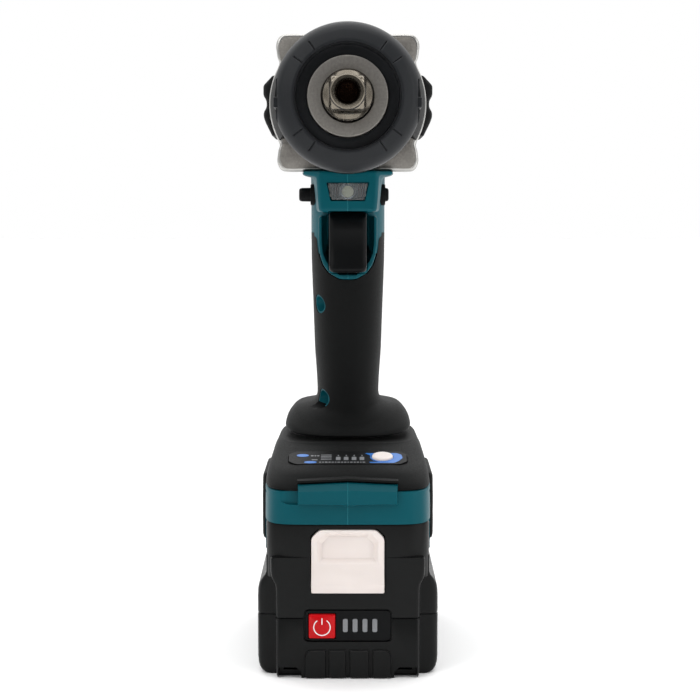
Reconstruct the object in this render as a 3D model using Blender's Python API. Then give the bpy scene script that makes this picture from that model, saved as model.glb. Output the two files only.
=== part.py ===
"""Cordless impact wrench with a slide-on battery pack, as separate closed solids in one frame.

Origin at the centre of the pack's underside, +Z up, the square drive facing -Y. Lengths below are
in millimetres and are written out in metres.
"""
import math

import bmesh
import bpy
from mathutils import Vector

MM = 0.001
GAP = 0.3                      # clearance between neighbouring pieces
SPLIT = 0.12                   # half of the clearance along the centre parting plane

# ---- head, along its own axis (stations are Y, radii about the axis) ----
HEAD_Z = 234.0
DRIVE = 12.7                   # square drive across flats
HEX = 6.35                     # bit socket across flats
HEX_DEPTH = 15.0
TIP_Y = -102.0
NOSE_Y = -77.0
NOSE_R = 15.6
SHAFT_R = 9.6
CASE_R = 28.4
CASE_BORE = 25.6
FLANGE_Y = (-31.0, -23.0)
FLANGE_R = 32.3
EAR = (24.0, 23.0, 5.3)        # centre x, centre z, radius
BUMPER_R = 28.65
BARREL_BORE = 28.7
BARREL_Y = (-22.7, 51.7)
REAR_Y = 68.0
CASE_SCREW_Y = (-29.5, -12.0)

# ---- drive train ----
MODULE = 0.8
SUN_T, PLANET_T, RING_T = 12, 21, 54
ORBIT_R = MODULE * (SUN_T + PLANET_T) / 2
GEAR_Y = (-22.0, -14.6)
HAMMER_TRAVEL = 6.0

# ---- handle: (z, front y, back y, half width) ----
NECK = [(229, -22, 34, 16.5), (206, -25, 33.4, 16.1), (190, -22.5, 28, 15.9), (181.6, -21, 26.5, 15.9)]
GRIP = [(180.9, -21, 26.5, 15.9), (165, -18.5, 28, 15.7), (150, -16, 30.5, 15.2),
        (130, -12, 33.5, 14.6), (112, -8.5, 36.5, 13.6)]
GRIP_T = 1.7
WALL = 2.2
BELL = [(102.5, 107.2, -8.6, 38.4, 14.4), (98.6, 105.6, -11.2, 40.4, 17.6), (96.8, 104.6, -14.6, 42.6, 22.6),
        (95.4, 101.4, -16.8, 44.0, 25.8), (94.4, 97.6, -17.8, 45.0, 27.5),
        (93.5, 94.6, -17.6, 44.8, 27.4)]        # z at the front, z further back, front, back, half width
LEVER_Z, LEVER_Y, LEVER_R = 197.0, -10.0, 3.2
LEVER_X = (-20.8, 17.4)
TRIGGER_X, TRIGGER_Z = 7.8, (164.7, 189.7)
GRIP_SCREWS = [(-7.4, 150.0, 7.3), (0.6, 108.2, 7.0)]      # y, z, boss reach

# ---- foot ----
FOOT = [(93.2, -17, 44, 26.5, 4), (90, -27, 50, 30.5, 4.5), (85.8, -44, 53, 33.0, 5.5),
        (82.2, -54, 55, 33.6, 6), (79, -58.5, 56, 34.4, 7), (64.2, -59, 57, 34.4, 8),
        (50.3, -59, 57, 34.4, 8)]          # z, front, back, half width, squareness
FOOT_IN = [(88.6, -15, 41, 23.5), (84.5, -27, 47, 28.0), (80.5, -41, 50, 30.6),
           (77.5, -51, 52, 31.2), (66.0, -56, 54, 31.6)]
PANEL_TILT = math.atan2(4.2, 18.0)
PANEL = (49.0, 16.4, 1.6)      # width, depth, thickness
RAIL_X, RAIL_LIP = 31.2, 28.2
CEILING_Z = 62.0

# ---- battery pack ----
PACK_W, PACK_L, PACK_SEAM = 37.2, 57.5, 22.6
PACK_FRONT_X = 29.2
SHOULDER_Z, PACK_TOP, NECK_TOP, RAIL_TOP = 39.5, 50.0, 63.7, 58.0
NECK_X, NECK_BACK = 33.5, -41.6
BUTTON_X, BUTTON_Z = 14.8, (36.2, 61.6)
CELL_R, CELL_L, CELL_PITCH, CELL_SHIFT = 9.15, 65.0, 18.9, 3.0
CELL_Z = (11.8, 31.2)


# ------------------------------------------------------------------ helpers
def material(name, rgb, rough, metal=0.0):
    mat = bpy.data.materials.get(name) or bpy.data.materials.new(name)
    mat.use_nodes = True
    node = mat.node_tree.nodes["Principled BSDF"]
    node.inputs["Base Color"].default_value = (*rgb, 1.0)
    node.inputs["Roughness"].default_value = rough
    node.inputs["Metallic"].default_value = metal
    mat.diffuse_color = (*rgb, 1.0)
    return mat


def make(name, verts, faces, mat, origin=(0, 0, 0), smooth=35.0):
    mesh = bpy.data.meshes.new(name)
    o = Vector(origin)
    mesh.from_pydata([tuple((Vector(v) - o) * MM) for v in verts], [], faces)
    bm = bmesh.new()
    bm.from_mesh(mesh)
    bmesh.ops.recalc_face_normals(bm, faces=bm.faces)
    bm.to_mesh(mesh)
    bm.free()
    mesh.materials.append(mat)
    if smooth:
        mesh.polygons.foreach_set("use_smooth", [True] * len(mesh.polygons))
        mesh.set_sharp_from_angle(angle=math.radians(smooth))
    obj = bpy.data.objects.new(name, mesh)
    obj.location = o * MM
    bpy.context.scene.collection.objects.link(obj)
    return obj


def loft_data(rings, closed=False):
    n = len(rings[0])
    verts = [p for ring in rings for p in ring]
    faces = []
    for k in range(len(rings) if closed else len(rings) - 1):
        a, b = k * n, ((k + 1) % len(rings)) * n
        faces += [(a + i, a + (i + 1) % n, b + (i + 1) % n, b + i) for i in range(n)]
    if not closed:
        faces += [tuple(reversed(range(n))), tuple(range(len(verts) - n, len(verts)))]
    return verts, faces


def loft(name, rings, mat, closed=False, **kw):
    return make(name, *loft_data(rings, closed), mat, **kw)


def turned_data(profile, seg, cx=0.0, cz=HEAD_Z, phase=0.0):
    """Rings about a Y axis; a profile of (r, y) that starts and ends off the axis closes on itself."""
    rings = []
    for r, y in profile:
        rings.append([(cx + r * math.cos(phase + 2 * math.pi * i / seg), y,
                       cz + r * math.sin(phase + 2 * math.pi * i / seg)) for i in range(seg)])
    return rings


def turned(name, profile, mat, seg=28, solid=False, **kw):
    cx, cz = kw.pop("cx", 0.0), kw.pop("cz", HEAD_Z)
    phase = 0.09 if mat is TOOL else 0.0
    return loft(name, turned_data(profile, seg, cx, cz, phase), mat, closed=not solid, **kw)


def prism(name, outline, plane, a, b, mat, **kw):
    put = {"XZ": lambda u, v, t: (u, t, v), "YZ": lambda u, v, t: (t, u, v), "XY": lambda u, v, t: (u, v, t)}
    return loft(name, [[put[plane](u, v, t) for u, v in outline] for t in (a, b)], mat, **kw)


def box_data(x0, x1, y0, y1, z0, z1):
    return loft_data([[(x0, y0, z), (x1, y0, z), (x1, y1, z), (x0, y1, z)] for z in (z0, z1)])


def box(name, x, y, z, mat, **kw):
    return make(name, *box_data(*x, *y, *z), mat, smooth=None, **kw)


def several(name, pieces, mat, **kw):
    """One mesh from several closed shells, used as an operand."""
    verts, faces = [], []
    for v, f in pieces:
        faces += [tuple(i + len(verts) for i in face) for face in f]
        verts += v
    return make(name, verts, faces, mat, **kw)


def rod_data(axis, centre, r, a, b, seg=16):
    rings = []
    for t in (a, b):
        ring = []
        for i in range(seg):
            p = 2 * math.pi * (i + 0.35) / seg
            c, s = r * math.cos(p), r * math.sin(p)
            u, v = centre[0] + c, centre[1] + s
            ring.append({"X": (t, u, v), "Y": (u, t, v), "Z": (u, v, t)}[axis])
        rings.append(ring)
    return loft_data(rings)


def combine(obj, tool, how):
    """Keeps a live Boolean on the piece; the operand stays in the file as a hidden wire shape."""
    tool.hide_render = True
    tool.display_type = "WIRE"
    mod = obj.modifiers.new(how.lower() + "_" + tool.name, "BOOLEAN")
    mod.operation, mod.solver, mod.object = how, "EXACT", tool
    return obj


def cut(obj, *tools):
    for tool in tools:
        combine(obj, tool, "DIFFERENCE")
    return obj


def add(obj, *tools):
    for tool in tools:
        combine(obj, tool, "UNION")
    return obj


def soften(obj, width, segments=1, angle=40.0):
    mod = obj.modifiers.new("bevel", "BEVEL")
    mod.width, mod.segments, mod.limit_method = width * MM, segments, "ANGLE"
    mod.angle_limit = math.radians(angle)
    return obj


def oval_xy(z, front, back, half, n=2.4, count=24):
    mid, deep = (front + back) / 2, (back - front) / 2
    ring = []
    for i in range(count):
        c, s = math.cos(2 * math.pi * i / count), math.sin(2 * math.pi * i / count)
        k = (abs(c) ** n + abs(s) ** n) ** (-1 / n)
        ring.append((half * c * k, mid + deep * s * k, z))
    return ring


def tilted(low, high, front, back, half, n=2.7, count=24):
    """An oval ring that climbs from its front to a level part further back."""
    ring = []
    for x, y, z in oval_xy(low, front, back, half, n, count):
        t = min(1.0, max(0.0, (y - front) / (12.0 - front)))
        ring.append((x, y, low + (high - low) * t * (2 - t)))
    return ring


def oval_radius(angle, a, b, n):
    return (abs(math.cos(angle) / a) ** n + abs(math.sin(angle) / b) ** n) ** (-1 / n)


def oval_xz(y, a, b, n, count=32):
    ring = []
    for i in range(count):
        t = 2 * math.pi * (i + 0.5) / count
        r = oval_radius(t, a, b, n)
        ring.append((r * math.cos(t), y, HEAD_Z + r * math.sin(t)))
    return ring


def gear_outline(teeth, inward=False, phase=0.0, cx=0.0, cz=HEAD_Z):
    pitch, step = MODULE * teeth / 2, math.pi / teeth
    sign = -1 if inward else 1
    tip, root = pitch + sign * 0.62 * MODULE, pitch - sign * 1.0 * MODULE
    pts = []
    for k in range(teeth):
        mid = phase + 2 * k * step
        for r, off in ((root, -0.58), (tip, -0.24), (tip, 0.24), (root, 0.58)):
            pts.append((cx + r * math.cos(mid + off * step), cz + r * math.sin(mid + off * step)))
    return pts


def coil(name, axis, centre, mean, wire, a, b, turns, mat, per=10, sides=5):
    """A closed-end wire helix between stations a and b."""
    steps = int(turns * per)
    rings = []
    for k in range(steps + 1):
        ang = 2 * math.pi * k / per
        t = a + wire + (b - a - 2 * wire) * k / steps
        ring = []
        for j in range(sides):
            p = 2 * math.pi * j / sides
            r, h = mean + wire * math.cos(p), t + wire * math.sin(p)
            u, v = centre[0] + r * math.cos(ang), centre[1] + r * math.sin(ang)
            ring.append({"Y": (u, h, v), "Z": (u, v, h)}[axis])
        rings.append(ring)
    return loft(name, rings, mat, smooth=60)


def ball(name, centre, r, mat, seg=12, rows=7, grow=0.0):
    rings = []
    for k in range(rows):
        p = math.pi * (k + 0.5) / rows - math.pi / 2
        rings.append([(centre[0] + (r + grow) * math.cos(p) * math.cos(2 * math.pi * i / seg),
                       centre[1] + (r + grow) * math.sin(p),
                       centre[2] + (r + grow) * math.cos(p) * math.sin(2 * math.pi * i / seg))
                      for i in range(seg)])
    return loft(name, rings, mat, smooth=80)


def halves(build, names):
    """Builds a piece twice and keeps one side of the parting plane in each."""
    out = []
    for name, x in zip(names, ((SPLIT, 80), (-80, -SPLIT))):
        obj = build(name)
        side = box("keep_" + name, x, (-120, 120), (-20, 300), TOOL)
        combine(obj, side, "INTERSECT")
        out.append(obj)
    return out


for old in list(bpy.data.objects):
    bpy.data.objects.remove(old, do_unlink=True)

TOOL = material("operand", (0.5, 0.5, 0.5), 0.5)
TEAL = material("teal_nylon", (0.004, 0.085, 0.105), 0.42)
BLACK = material("black_nylon", (0.012, 0.012, 0.013), 0.45)
RUBBER = material("rubber", (0.010, 0.010, 0.011), 0.75)
CAST = material("die_cast_aluminium", (0.42, 0.42, 0.41), 0.45, 1.0)
STEEL = material("ground_steel", (0.56, 0.55, 0.53), 0.28, 1.0)
DARK = material("black_oxide_steel", (0.06, 0.06, 0.065), 0.4, 1.0)
BRASS = material("brass", (0.70, 0.50, 0.22), 0.3, 1.0)
COPPER = material("enamelled_copper", (0.55, 0.22, 0.09), 0.35, 1.0)
WHITE = material("white_nylon", (0.78, 0.78, 0.76), 0.4)
RED = material("red_nylon", (0.60, 0.02, 0.02), 0.4)
CLEAR = material("clear_lens", (0.80, 0.85, 0.85), 0.1)
BOARD = material("circuit_board", (0.02, 0.16, 0.07), 0.5)
CELLS = material("cell_sleeve", (0.10, 0.28, 0.42), 0.4)
HOLDER = material("cell_holder_plastic", (0.10, 0.10, 0.11), 0.6)


# ------------------------------------------------------------------ drive train
def anvil():
    sq = DRIVE / 2
    rows = [(6.0, 2, TIP_Y), (6.5, 2, TIP_Y + 0.8), (6.5, 2, -99.4), (5.3, 2, -99.4 + 0.01),
            (5.3, 2, -96.9), (sq, 14, -96.89), (sq, 14, -86.5), (SHAFT_R - 0.6, 2, -83.5),
            (SHAFT_R, 2, -83.0), (SHAFT_R, 2, -61.8), (12.4, 2, -58.6), (12.4, 2, -51.6)]
    body = loft("anvil", [oval_xz(y, r, r, n, 28) for r, n, y in rows], STEEL, origin=(0, TIP_Y, HEAD_Z))
    arms = box("anvil_arms", (-21.6, 21.6), (-58.4, -51.9), (HEAD_Z - 5.5, HEAD_Z + 5.5), TOOL)
    socket = prism("anvil_hex", [(HEX / math.sqrt(3) * math.cos(math.radians(30 + 60 * k)),
                                  HEAD_Z + HEX / math.sqrt(3) * math.sin(math.radians(30 + 60 * k)))
                                 for k in range(6)], "XZ", TIP_Y - 1, TIP_Y + HEX_DEPTH, TOOL)
    mouth = turned("anvil_mouth", [(5.3, TIP_Y - 0.8), (3.3, TIP_Y + 1.2)], TOOL, solid=True, seg=24)
    pilot = turned("anvil_pilot", [(4.3, -59.2), (4.3, -50)], TOOL, solid=True, seg=20)
    cut(add(body, arms), socket, mouth, pilot)


def friction_ring():
    ring = turned("friction_ring", [(5.55, -99.1), (6.8, -99.1), (6.8, -97.3), (5.55, -97.3)], DARK,
                  seg=28, origin=(0, TIP_Y, HEAD_Z))
    cut(ring, box("ring_slit", (-0.8, 0.8), (-100, -96), (HEAD_Z - 9, HEAD_Z - 3), TOOL))


def hammer():
    body = turned("hammer", [(8.6, -50.5), (24.9, -50.5), (24.9, -33), (21, -33), (21, -42),
                             (12, -42), (12, -37), (8.6, -37)], STEEL, origin=(0, -45, HEAD_Z))
    dogs = []
    for side in (1, -1):
        arc = [(r, math.radians(90 * side + d)) for r, d in
               ((13.2, -20), (21.7, -17), (22.0, -1.3), (21.7, 16), (13.2, 19), (13.9, -1.1))]
        dogs.append(loft_data([[(r * math.cos(t), y, HEAD_Z + r * math.sin(t)) for r, t in arc]
                               for y in (-56, -49)]))
    grooves = [rod_data("Y", (0, HEAD_Z + s * 8.3), 2.85, -53, -41, 12) for s in (1, -1)]
    cut(body, several("hammer_grooves", grooves, TOOL))
    add(body, several("hammer_dogs", dogs, TOOL))
    coil("hammer_spring", "Y", (0, HEAD_Z), 16.4, 1.2, -41.7, -26.3, 4, DARK, per=12)


def spindle():
    body = turned("spindle", [(3.6, -58.6), (4.0, -58.2), (4.0, -51.2), (8.0, -51.0), (8.0, -26.3),
                              (20.5, -26.0), (20.5, -22.6)], STEEL, solid=True, origin=(0, -26, HEAD_Z))
    rear = turned("spindle_rear", [(6.2, -14.3), (17.5, -14.3), (17.5, -11.3), (8.8, -11.1),
                                   (8.8, -6.6), (6.2, -6.6)], TOOL)
    pins = several("spindle_pins", [rod_data("Y", (s * ORBIT_R, HEAD_Z), 2.6, -24, -12.5, 14)
                                    for s in (1, -1)], TOOL)
    add(body, pins, rear)
    pockets = [ball("ball_pocket_" + str(k), (0, -44, HEAD_Z + s * 8.3), 2.6, TOOL, grow=0.25)
               for k, s in ((1, 1), (2, -1))]
    cut(body, *pockets)
    for k, s in ((1, 1), (2, -1)):
        ball("cam_ball_" + str(k), (0, -44, HEAD_Z + s * 8.3), 2.6, STEEL)


def gears():
    for k, (side, phase) in enumerate(((1, 0.0), (-1, math.pi)), 1):
        cx = side * ORBIT_R
        gear = prism("planet_gear_" + str(k), gear_outline(PLANET_T, phase=phase, cx=cx), "XZ",
                     GEAR_Y[0] - 0.2, GEAR_Y[1], DARK, origin=(cx, GEAR_Y[0], HEAD_Z), smooth=None)
        cut(gear, several("planet_bore_" + str(k), [rod_data("Y", (cx, HEAD_Z), 2.85, -24, -12, 14)], TOOL))
    ring = turned("ring_gear", [(25.5, -22), (25.5, -14.4)], DARK, seg=40, solid=True)
    cut(ring, prism("ring_teeth", gear_outline(RING_T, True, math.pi / RING_T), "XZ", -24, -12, TOOL,
                    smooth=None))
    prism("pinion", gear_outline(SUN_T), "XZ", -21.9, -8.0, DARK, origin=(0, -21.9, HEAD_Z), smooth=None)


def motor():
    turned("rotor", [(3.6, -7.6), (4.0, -7.2), (4.0, 9), (13.4, 9), (13.4, 36), (4.0, 36), (4.0, 62),
                     (3.4, 62.6)], DARK, solid=True, origin=(0, 9, HEAD_Z))
    turned("rotor_bearing_front", [(4.25, -3.6), (8.05, -3.6), (8.05, 1.4), (4.25, 1.4)], STEEL, seg=20)
    turned("rotor_bearing_rear", [(4.25, 57), (9.5, 57), (9.5, 62), (4.25, 62)], STEEL, seg=20)
    turned("spindle_bearing", [(9.1, -10.7), (14.0, -10.7), (14.0, -6.8), (9.1, -6.8)], STEEL, seg=24)
    turned("bearing_box", [(14.3, -10.95), (25.8, -10.95), (25.8, -22.3), (28.4, -22.3), (28.4, -4.6),
                           (10.6, -4.6), (10.6, 1.8), (8.35, 1.8), (8.35, -3.9), (5.2, -3.9),
                           (5.2, -6.2), (14.3, -6.2)], CAST, seg=32)
    turned("sensor_board", [(11, 4.0), (26, 4.0), (26, 5.6), (11, 5.6)], BOARD, seg=24)
    core = turned("stator", [(28.4, 10), (28.4, 35)], DARK, seg=36, solid=True)
    slots = []
    for k in range(6):
        base = math.radians(60 * k)
        for d, r in ((-30, 24.5), (-21, 24.5), (-20.5, 15.8), (-27, 14.2), (-12, 14.2), (0, 14.2),
                     (12, 14.2), (27, 14.2), (20.5, 15.8), (21, 24.5)):
            slots.append((r * math.cos(base + math.radians(d)), HEAD_Z + r * math.sin(base + math.radians(d))))
    cut(core, prism("stator_slots", slots, "XZ", 8, 37, TOOL, smooth=None))
    coils = []
    for k in range(6):
        t = math.radians(60 * k)
        u, v = Vector((math.cos(t), 0, math.sin(t))), Vector((-math.sin(t), 0, math.cos(t)))
        rings = []
        for y, grow in ((7.6, 0.0), (8.4, 0.8), (36.6, 0.8), (37.4, 0.0)):
            rings.append([tuple(u * a + v * b + Vector((0, y, HEAD_Z))) for a, b in
                          ((17.2 - grow, -4.6 - grow), (22.4 + grow, -4.6 - grow),
                           (22.4 + grow, 4.6 + grow), (17.2 - grow, 4.6 + grow))])
        coils.append(loft_data(rings))
    add(core, several("stator_coils", coils, TOOL))
    fan = turned("fan", [(4.25, 41), (7.5, 41), (8.0, 47), (24.5, 48), (24.5, 49.4), (4.25, 49.4)], BLACK,
                 origin=(0, 49, HEAD_Z))
    blades = []
    for k in range(7):
        t = 2 * math.pi * k / 7
        u, v = Vector((math.cos(t), 0, math.sin(t))), Vector((-math.sin(t), 0, math.cos(t)))
        rings = []
        for y in (41.4, 48.6):
            rings.append([tuple(u * a + v * b + Vector((0, y, HEAD_Z))) for a, b in
                          ((6.8, -0.6), (16, 1.6), (24.0, 6.2), (24.0, 7.4), (15.6, 2.9), (6.8, 0.6))])
        blades.append(loft_data(rings))
    add(fan, several("fan_blades", blades, TOOL))


# ------------------------------------------------------------------ nose
def nose():
    case = turned("hammer_case", [(14.9, NOSE_Y), (NOSE_R, NOSE_Y + 0.7), (NOSE_R, -71.4), (17.5, -70),
                                  (26.0, -58), (26.0, -55.2), (CASE_R - 0.6, -54.4), (CASE_R, -53.6),
                                  (CASE_R, FLANGE_Y[1] - 0.4)], CAST, seg=36, solid=True)
    x, z, r = EAR
    outline = []
    for step in range(72):
        t = 2 * math.pi * (step + 0.5) / 72
        c, s = math.cos(t), math.sin(t)
        reach = FLANGE_R
        if s > 0:
            reach = min(reach, 28.3 / s)
        elif s < 0:
            reach = min(reach, 27.3 / -s)
        cz = z if s > 0 else -(z - 1.0)
        along = abs(c) * x + s * cz
        off = x * x + cz * cz - along * along
        if along > 0 and off < r * r:
            reach = max(reach, along + math.sqrt(r * r - off))
        outline.append((reach * c, HEAD_Z + reach * s))
    add(case, prism("case_flange", outline, "XZ", *FLANGE_Y, TOOL))
    cut(case, turned("case_bore", [(10.2, -79), (10.2, -75.5), (12.7, -75.4), (12.7, -59.7), (22.6, -59.5),
                                   (22.6, -52.3), (CASE_BORE, -52.0), (CASE_BORE, -20)], TOOL, seg=28,
                     solid=True))
    holes = []
    for k, (sx, zz) in enumerate(((1, z), (-1, z), (-1, 1 - z), (1, 1 - z)), 1):
        cx, cz = sx * x, HEAD_Z + zz
        holes.append(rod_data("Y", (cx, cz), 2.25, -30.0, -21.0, 10))
        turned("case_screw_" + str(k), [(1.7, CASE_SCREW_Y[0]), (2.0, CASE_SCREW_Y[0] + 0.4),
                                        (2.0, CASE_SCREW_Y[1]), (3.1, CASE_SCREW_Y[1] + 0.01),
                                        (3.1, CASE_SCREW_Y[1] + 3.0), (2.5, CASE_SCREW_Y[1] + 3.4)], DARK,
               seg=10, solid=True, cx=cx, cz=cz)
    cut(case, several("case_screw_holes", holes, TOOL))
    turned("nose_bush", [(9.9, -75.2), (12.4, -75.2), (12.4, -62.2), (9.9, -62.2)], BRASS, seg=32)
    bumper = turned("front_bumper", [(20.6, -77.6), (21.4, -78.2), (26.2, -76.2), (28.2, -73.6),
                                     (BUMPER_R, -71.5), (BUMPER_R, -57.2), (28.2, -56.4), (26.4, -56.4),
                                     (26.4, -58.2), (20.2, -66.9)], RUBBER, seg=36)
    pads = []
    for k in range(4):
        t = math.radians(45 + 90 * k)
        rings = []
        for r, y0, y1 in ((21.9, -78.45, -74), (26.1, -76.75, -73), (28.0, -74.5, -70), (28.95, -71.5, -66),
                          (28.95, -60, -60)):
            wide = math.radians(11.5)
            rings.append([(q * math.cos(t + s * wide), y, HEAD_Z + q * math.sin(t + s * wide))
                          for q, y, s in ((r, y0, -1), (r, y0, 1), (r - 2.2, y1 + 1.5, 1), (r - 2.2, y1 + 1.5, -1))])
        pads.append(loft_data(rings))
    add(bumper, several("bumper_pads", pads, TOOL))
    cut(bumper, several("bumper_notches", [box_data(s * 28 - 1.9, s * 28 + 1.9, -80, -73.5, HEAD_Z - 2, HEAD_Z + 2)
                                           for s in (1, -1)], TOOL, smooth=None))


# ------------------------------------------------------------------ motor housing, handle, foot
def inset(rings, by):
    return [(z, f + by, b - by, w - by) for z, f, b, w in rings]


def housing():
    hard_grip = inset([(181.5, -21, 26.5, 15.9)] + GRIP[1:] + [(98, -6.5, 38.5, 13.8)], GRIP_T + GAP)
    handle = NECK + hard_grip + [(86, -4.5, 38, 11.8)]
    hollow = [(212, -21.5, 30, 13.8), (190, -19.9, 25.5, 13.6), (181.5, -16.8, 22.3, 11.7)]
    hollow += inset(hard_grip[1:], WALL) + [(80, -2.6, 36, 9.6)]
    shapes = [loft("handle_form", [oval_xy(*r) for r in handle], TOOL),
              loft("foot_form", [oval_xy(*r, count=40) for r in FOOT], TOOL)]
    lamp = []
    for z, front, nose_x, back_x in ((206.4, -41.4, 11.0, 18.5), (204.6, -42.0, 11.4, 18.4),
                                     (203.0, -42.0, 11.3, 14.0), (192.0, -42.0, 10.4, 13.4),
                                     (190.0, -41.2, 9.8, 13.0)):
        lamp.append([(-nose_x, front, z), (nose_x, front, z), (nose_x + 2.6, front + 1.6, z),
                     (back_x, -34, z), (back_x, -18, z), (-back_x, -18, z), (-back_x, -34, z),
                     (-nose_x - 2.6, front + 1.6, z)])
    shapes.append(loft("lamp_form", lamp, TOOL, smooth=None))
    half_u = [(12.0, 183.0), (12.0, 176.5), (11.4, 171.5), (9.6, 166.5), (6.6, 162.8), (3.0, 161.1)]
    u_line = half_u + [(-x, z) for x, z in reversed(half_u)]
    shapes.append(prism("guard_form", u_line, "XZ", -24.3, -13.5, TOOL, smooth=None))
    shapes.append(prism("foot_block", [(-20.1, 72.4), (20.1, 72.4), (20.1, 80.6), (0, 81.4), (-20.1, 80.6)],
                        "XZ", -61, -56.8, TOOL, smooth=None))
    x, z, _ = EAR
    shapes.append(several("ear_bosses", [rod_data("Y", (sx * x, HEAD_Z + zz), 5.0, BARREL_Y[0], -6.5, 20)
                                         for sx, zz in ((1, z), (-1, z), (-1, 1 - z), (1, 1 - z))], TOOL))
    removed = [
        turned("barrel_bore", [(BARREL_BORE, -25), (BARREL_BORE, 55)], TOOL, seg=40, solid=True),
        turned("case_clearance", [(CASE_R + GAP + 0.2, -60), (CASE_R + GAP + 0.2, -30.5), (36, -30.4),
                                  (36, -22.8)], TOOL, seg=48, solid=True),
        loft("handle_hollow", [oval_xy(*r) for r in hollow], TOOL),
        loft("foot_hollow", [oval_xy(*r, n=5.0, count=24) for r in FOOT_IN], TOOL),
        box("lamp_hollow", (-8.9, 8.9), (-39.6, -17), (192.4, 203.2), TOOL),
        prism("lamp_window", [(-8.7, 201.7), (8.7, 201.7), (7.0, 194.2), (-7.0, 194.2)], "XZ", -45, -39, TOOL,
              smooth=None),
        box("trigger_window", (-8.2, 8.2), (-44, -5.5), (163.9, 190.25), TOOL),
        several("lever_hole", [rod_data("X", (LEVER_Y, LEVER_Z), LEVER_R + 0.35, -30, 30, 20)], TOOL),
        box("pack_front", (-50, 50), (-70, -41.2), (30, 64.0), TOOL),
        box("rail_wide", (-RAIL_X, RAIL_X), (-45, 51), (53.0, CEILING_Z), TOOL),
        box("rail_narrow", (-RAIL_LIP, RAIL_LIP), (-46, 51.1), (40, 53.5), TOOL),
        prism("strap_recess", [(-29.0, 72.2), (-20.6, 72.2), (-20.6, 79.2), (-29.0, 79.2)], "XZ", -64, -56.9,
              TOOL, smooth=None),
        panel_box("panel_recess", 0.25, -0.25, 12.0),
    ]
    x, z, _ = EAR
    wells = []
    for sx, zz in ((1, z), (-1, z), (-1, 1 - z), (1, 1 - z)):
        wells.append(rod_data("Y", (sx * x, HEAD_Z + zz), 2.25, -24, -11, 10))
    removed.append(several("case_screw_wells", wells, TOOL))
    removed.append(several("case_screw_counterbores",
                           [rod_data("Y", (sx * x, HEAD_Z + zz), 3.4, CASE_SCREW_Y[1] - 0.2, 6, 10)
                            for sx, zz in ((1, z), (-1, z), (-1, 1 - z), (1, 1 - z))], TOOL))
    slots = [box_data(*sorted((s * 22, s * 36)), 40.5, 49.5, HEAD_Z + dz, HEAD_Z + dz + 2.4)
             for s in (1, -1) for dz in (-6.2, -1.2, 3.8)]
    removed.append(several("exhaust_slots", slots, TOOL, smooth=None))
    bosses = several("screw_bosses", [rod_data("X", (y, zz), 3.9, -reach, reach, 12) for y, zz, reach in GRIP_SCREWS], TOOL)
    bores = several("screw_bores", [rod_data("X", (y, zz), 1.9, -13, 8.1, 8) for y, zz, _ in GRIP_SCREWS], TOOL)
    heads = several("screw_head_bores", [rod_data("X", (y, zz), 3.6, -16, -5.2, 10) for y, zz, _ in GRIP_SCREWS], TOOL)

    def build(name):
        rings = [oval_xz(y, a, b, n) for y, a, b, n in (
            (BARREL_Y[0], 30.6, 30.3, 2.1), (-10.0, 31.0, 30.6, 2.15), (-2.0, 31.4, 31.0, 2.3),
            (10, 31.6, 31.2, 2.4), (35, 31.2, 31.0, 2.3), (BARREL_Y[1], 30.0, 29.8, 2.3))]
        obj = loft(name, rings, TEAL)
        add(obj, *shapes)
        cut(obj, *removed)
        add(obj, bosses)
        return cut(obj, bores, heads)

    halves(build, ("housing_right", "housing_left"))

    guard_clear = [(x * (12.4 / 12.0), z - 0.35) for x, z in u_line]
    inner = loft("grip_hollow", [oval_xy(z, f - GAP, b + GAP, w + GAP) for z, f, b, w in
                                 [(184, -19.0, 24.5, 13.9)] + hard_grip + [(86, -4.5, 38, 11.8)]], TOOL)
    guard_cut = prism("guard_clear", guard_clear, "XZ", -40, -12.6, TOOL, smooth=None)
    grip_heads = several("grip_head_bores", [rod_data("X", (y, zz), 4.5, -20, -4.6, 14) for y, zz, _ in GRIP_SCREWS],
                         TOOL)

    def build_grip(name):
        obj = loft(name, [oval_xy(*r) for r in GRIP] + [tilted(*r) for r in BELL], RUBBER)
        return cut(obj, inner, guard_cut, grip_heads)

    halves(build_grip, ("grip_right", "grip_left"))
    for k, (y, zz, _) in enumerate(GRIP_SCREWS, 1):
        rings = []
        for r, x in ((3.2, -8.4), (3.2, -5.6), (1.6, -5.59), (1.6, 7.3), (1.2, 7.7)):
            rings.append([(x, y + r * math.cos(2 * math.pi * i / 14), zz + r * math.sin(2 * math.pi * i / 14))
                          for i in range(14)])
        loft("grip_screw_" + str(k), rings, DARK)



def rear_cover():
    body = turned("rear_cover", [(29.8, 52.0), (28.6, 60.0), (24.5, 66.0), (18.0, REAR_Y)], BLACK, seg=40,
                  solid=True)
    tool = turned("rear_cover_hollow", [(27.4, 50.0), (26.2, 59.5), (22.5, 63.4), (16.0, 64.6)], TOOL, seg=40,
                  solid=True)
    collar = turned("rear_collar", [(9.8, 54.5), (12.2, 54.5), (12.2, 65.5), (9.8, 65.5)], TOOL, seg=24)
    slots = [box_data(*sorted((s * 15, s * 40)), 54.5, 58.6, HEAD_Z + dz, HEAD_Z + dz + 2.4)
             for s in (1, -1) for dz in (-6.2, -1.2, 3.8)]
    cut(body, tool)
    add(body, collar)
    cut(body, several("intake_slots", slots, TOOL, smooth=None))
    return body


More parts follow.
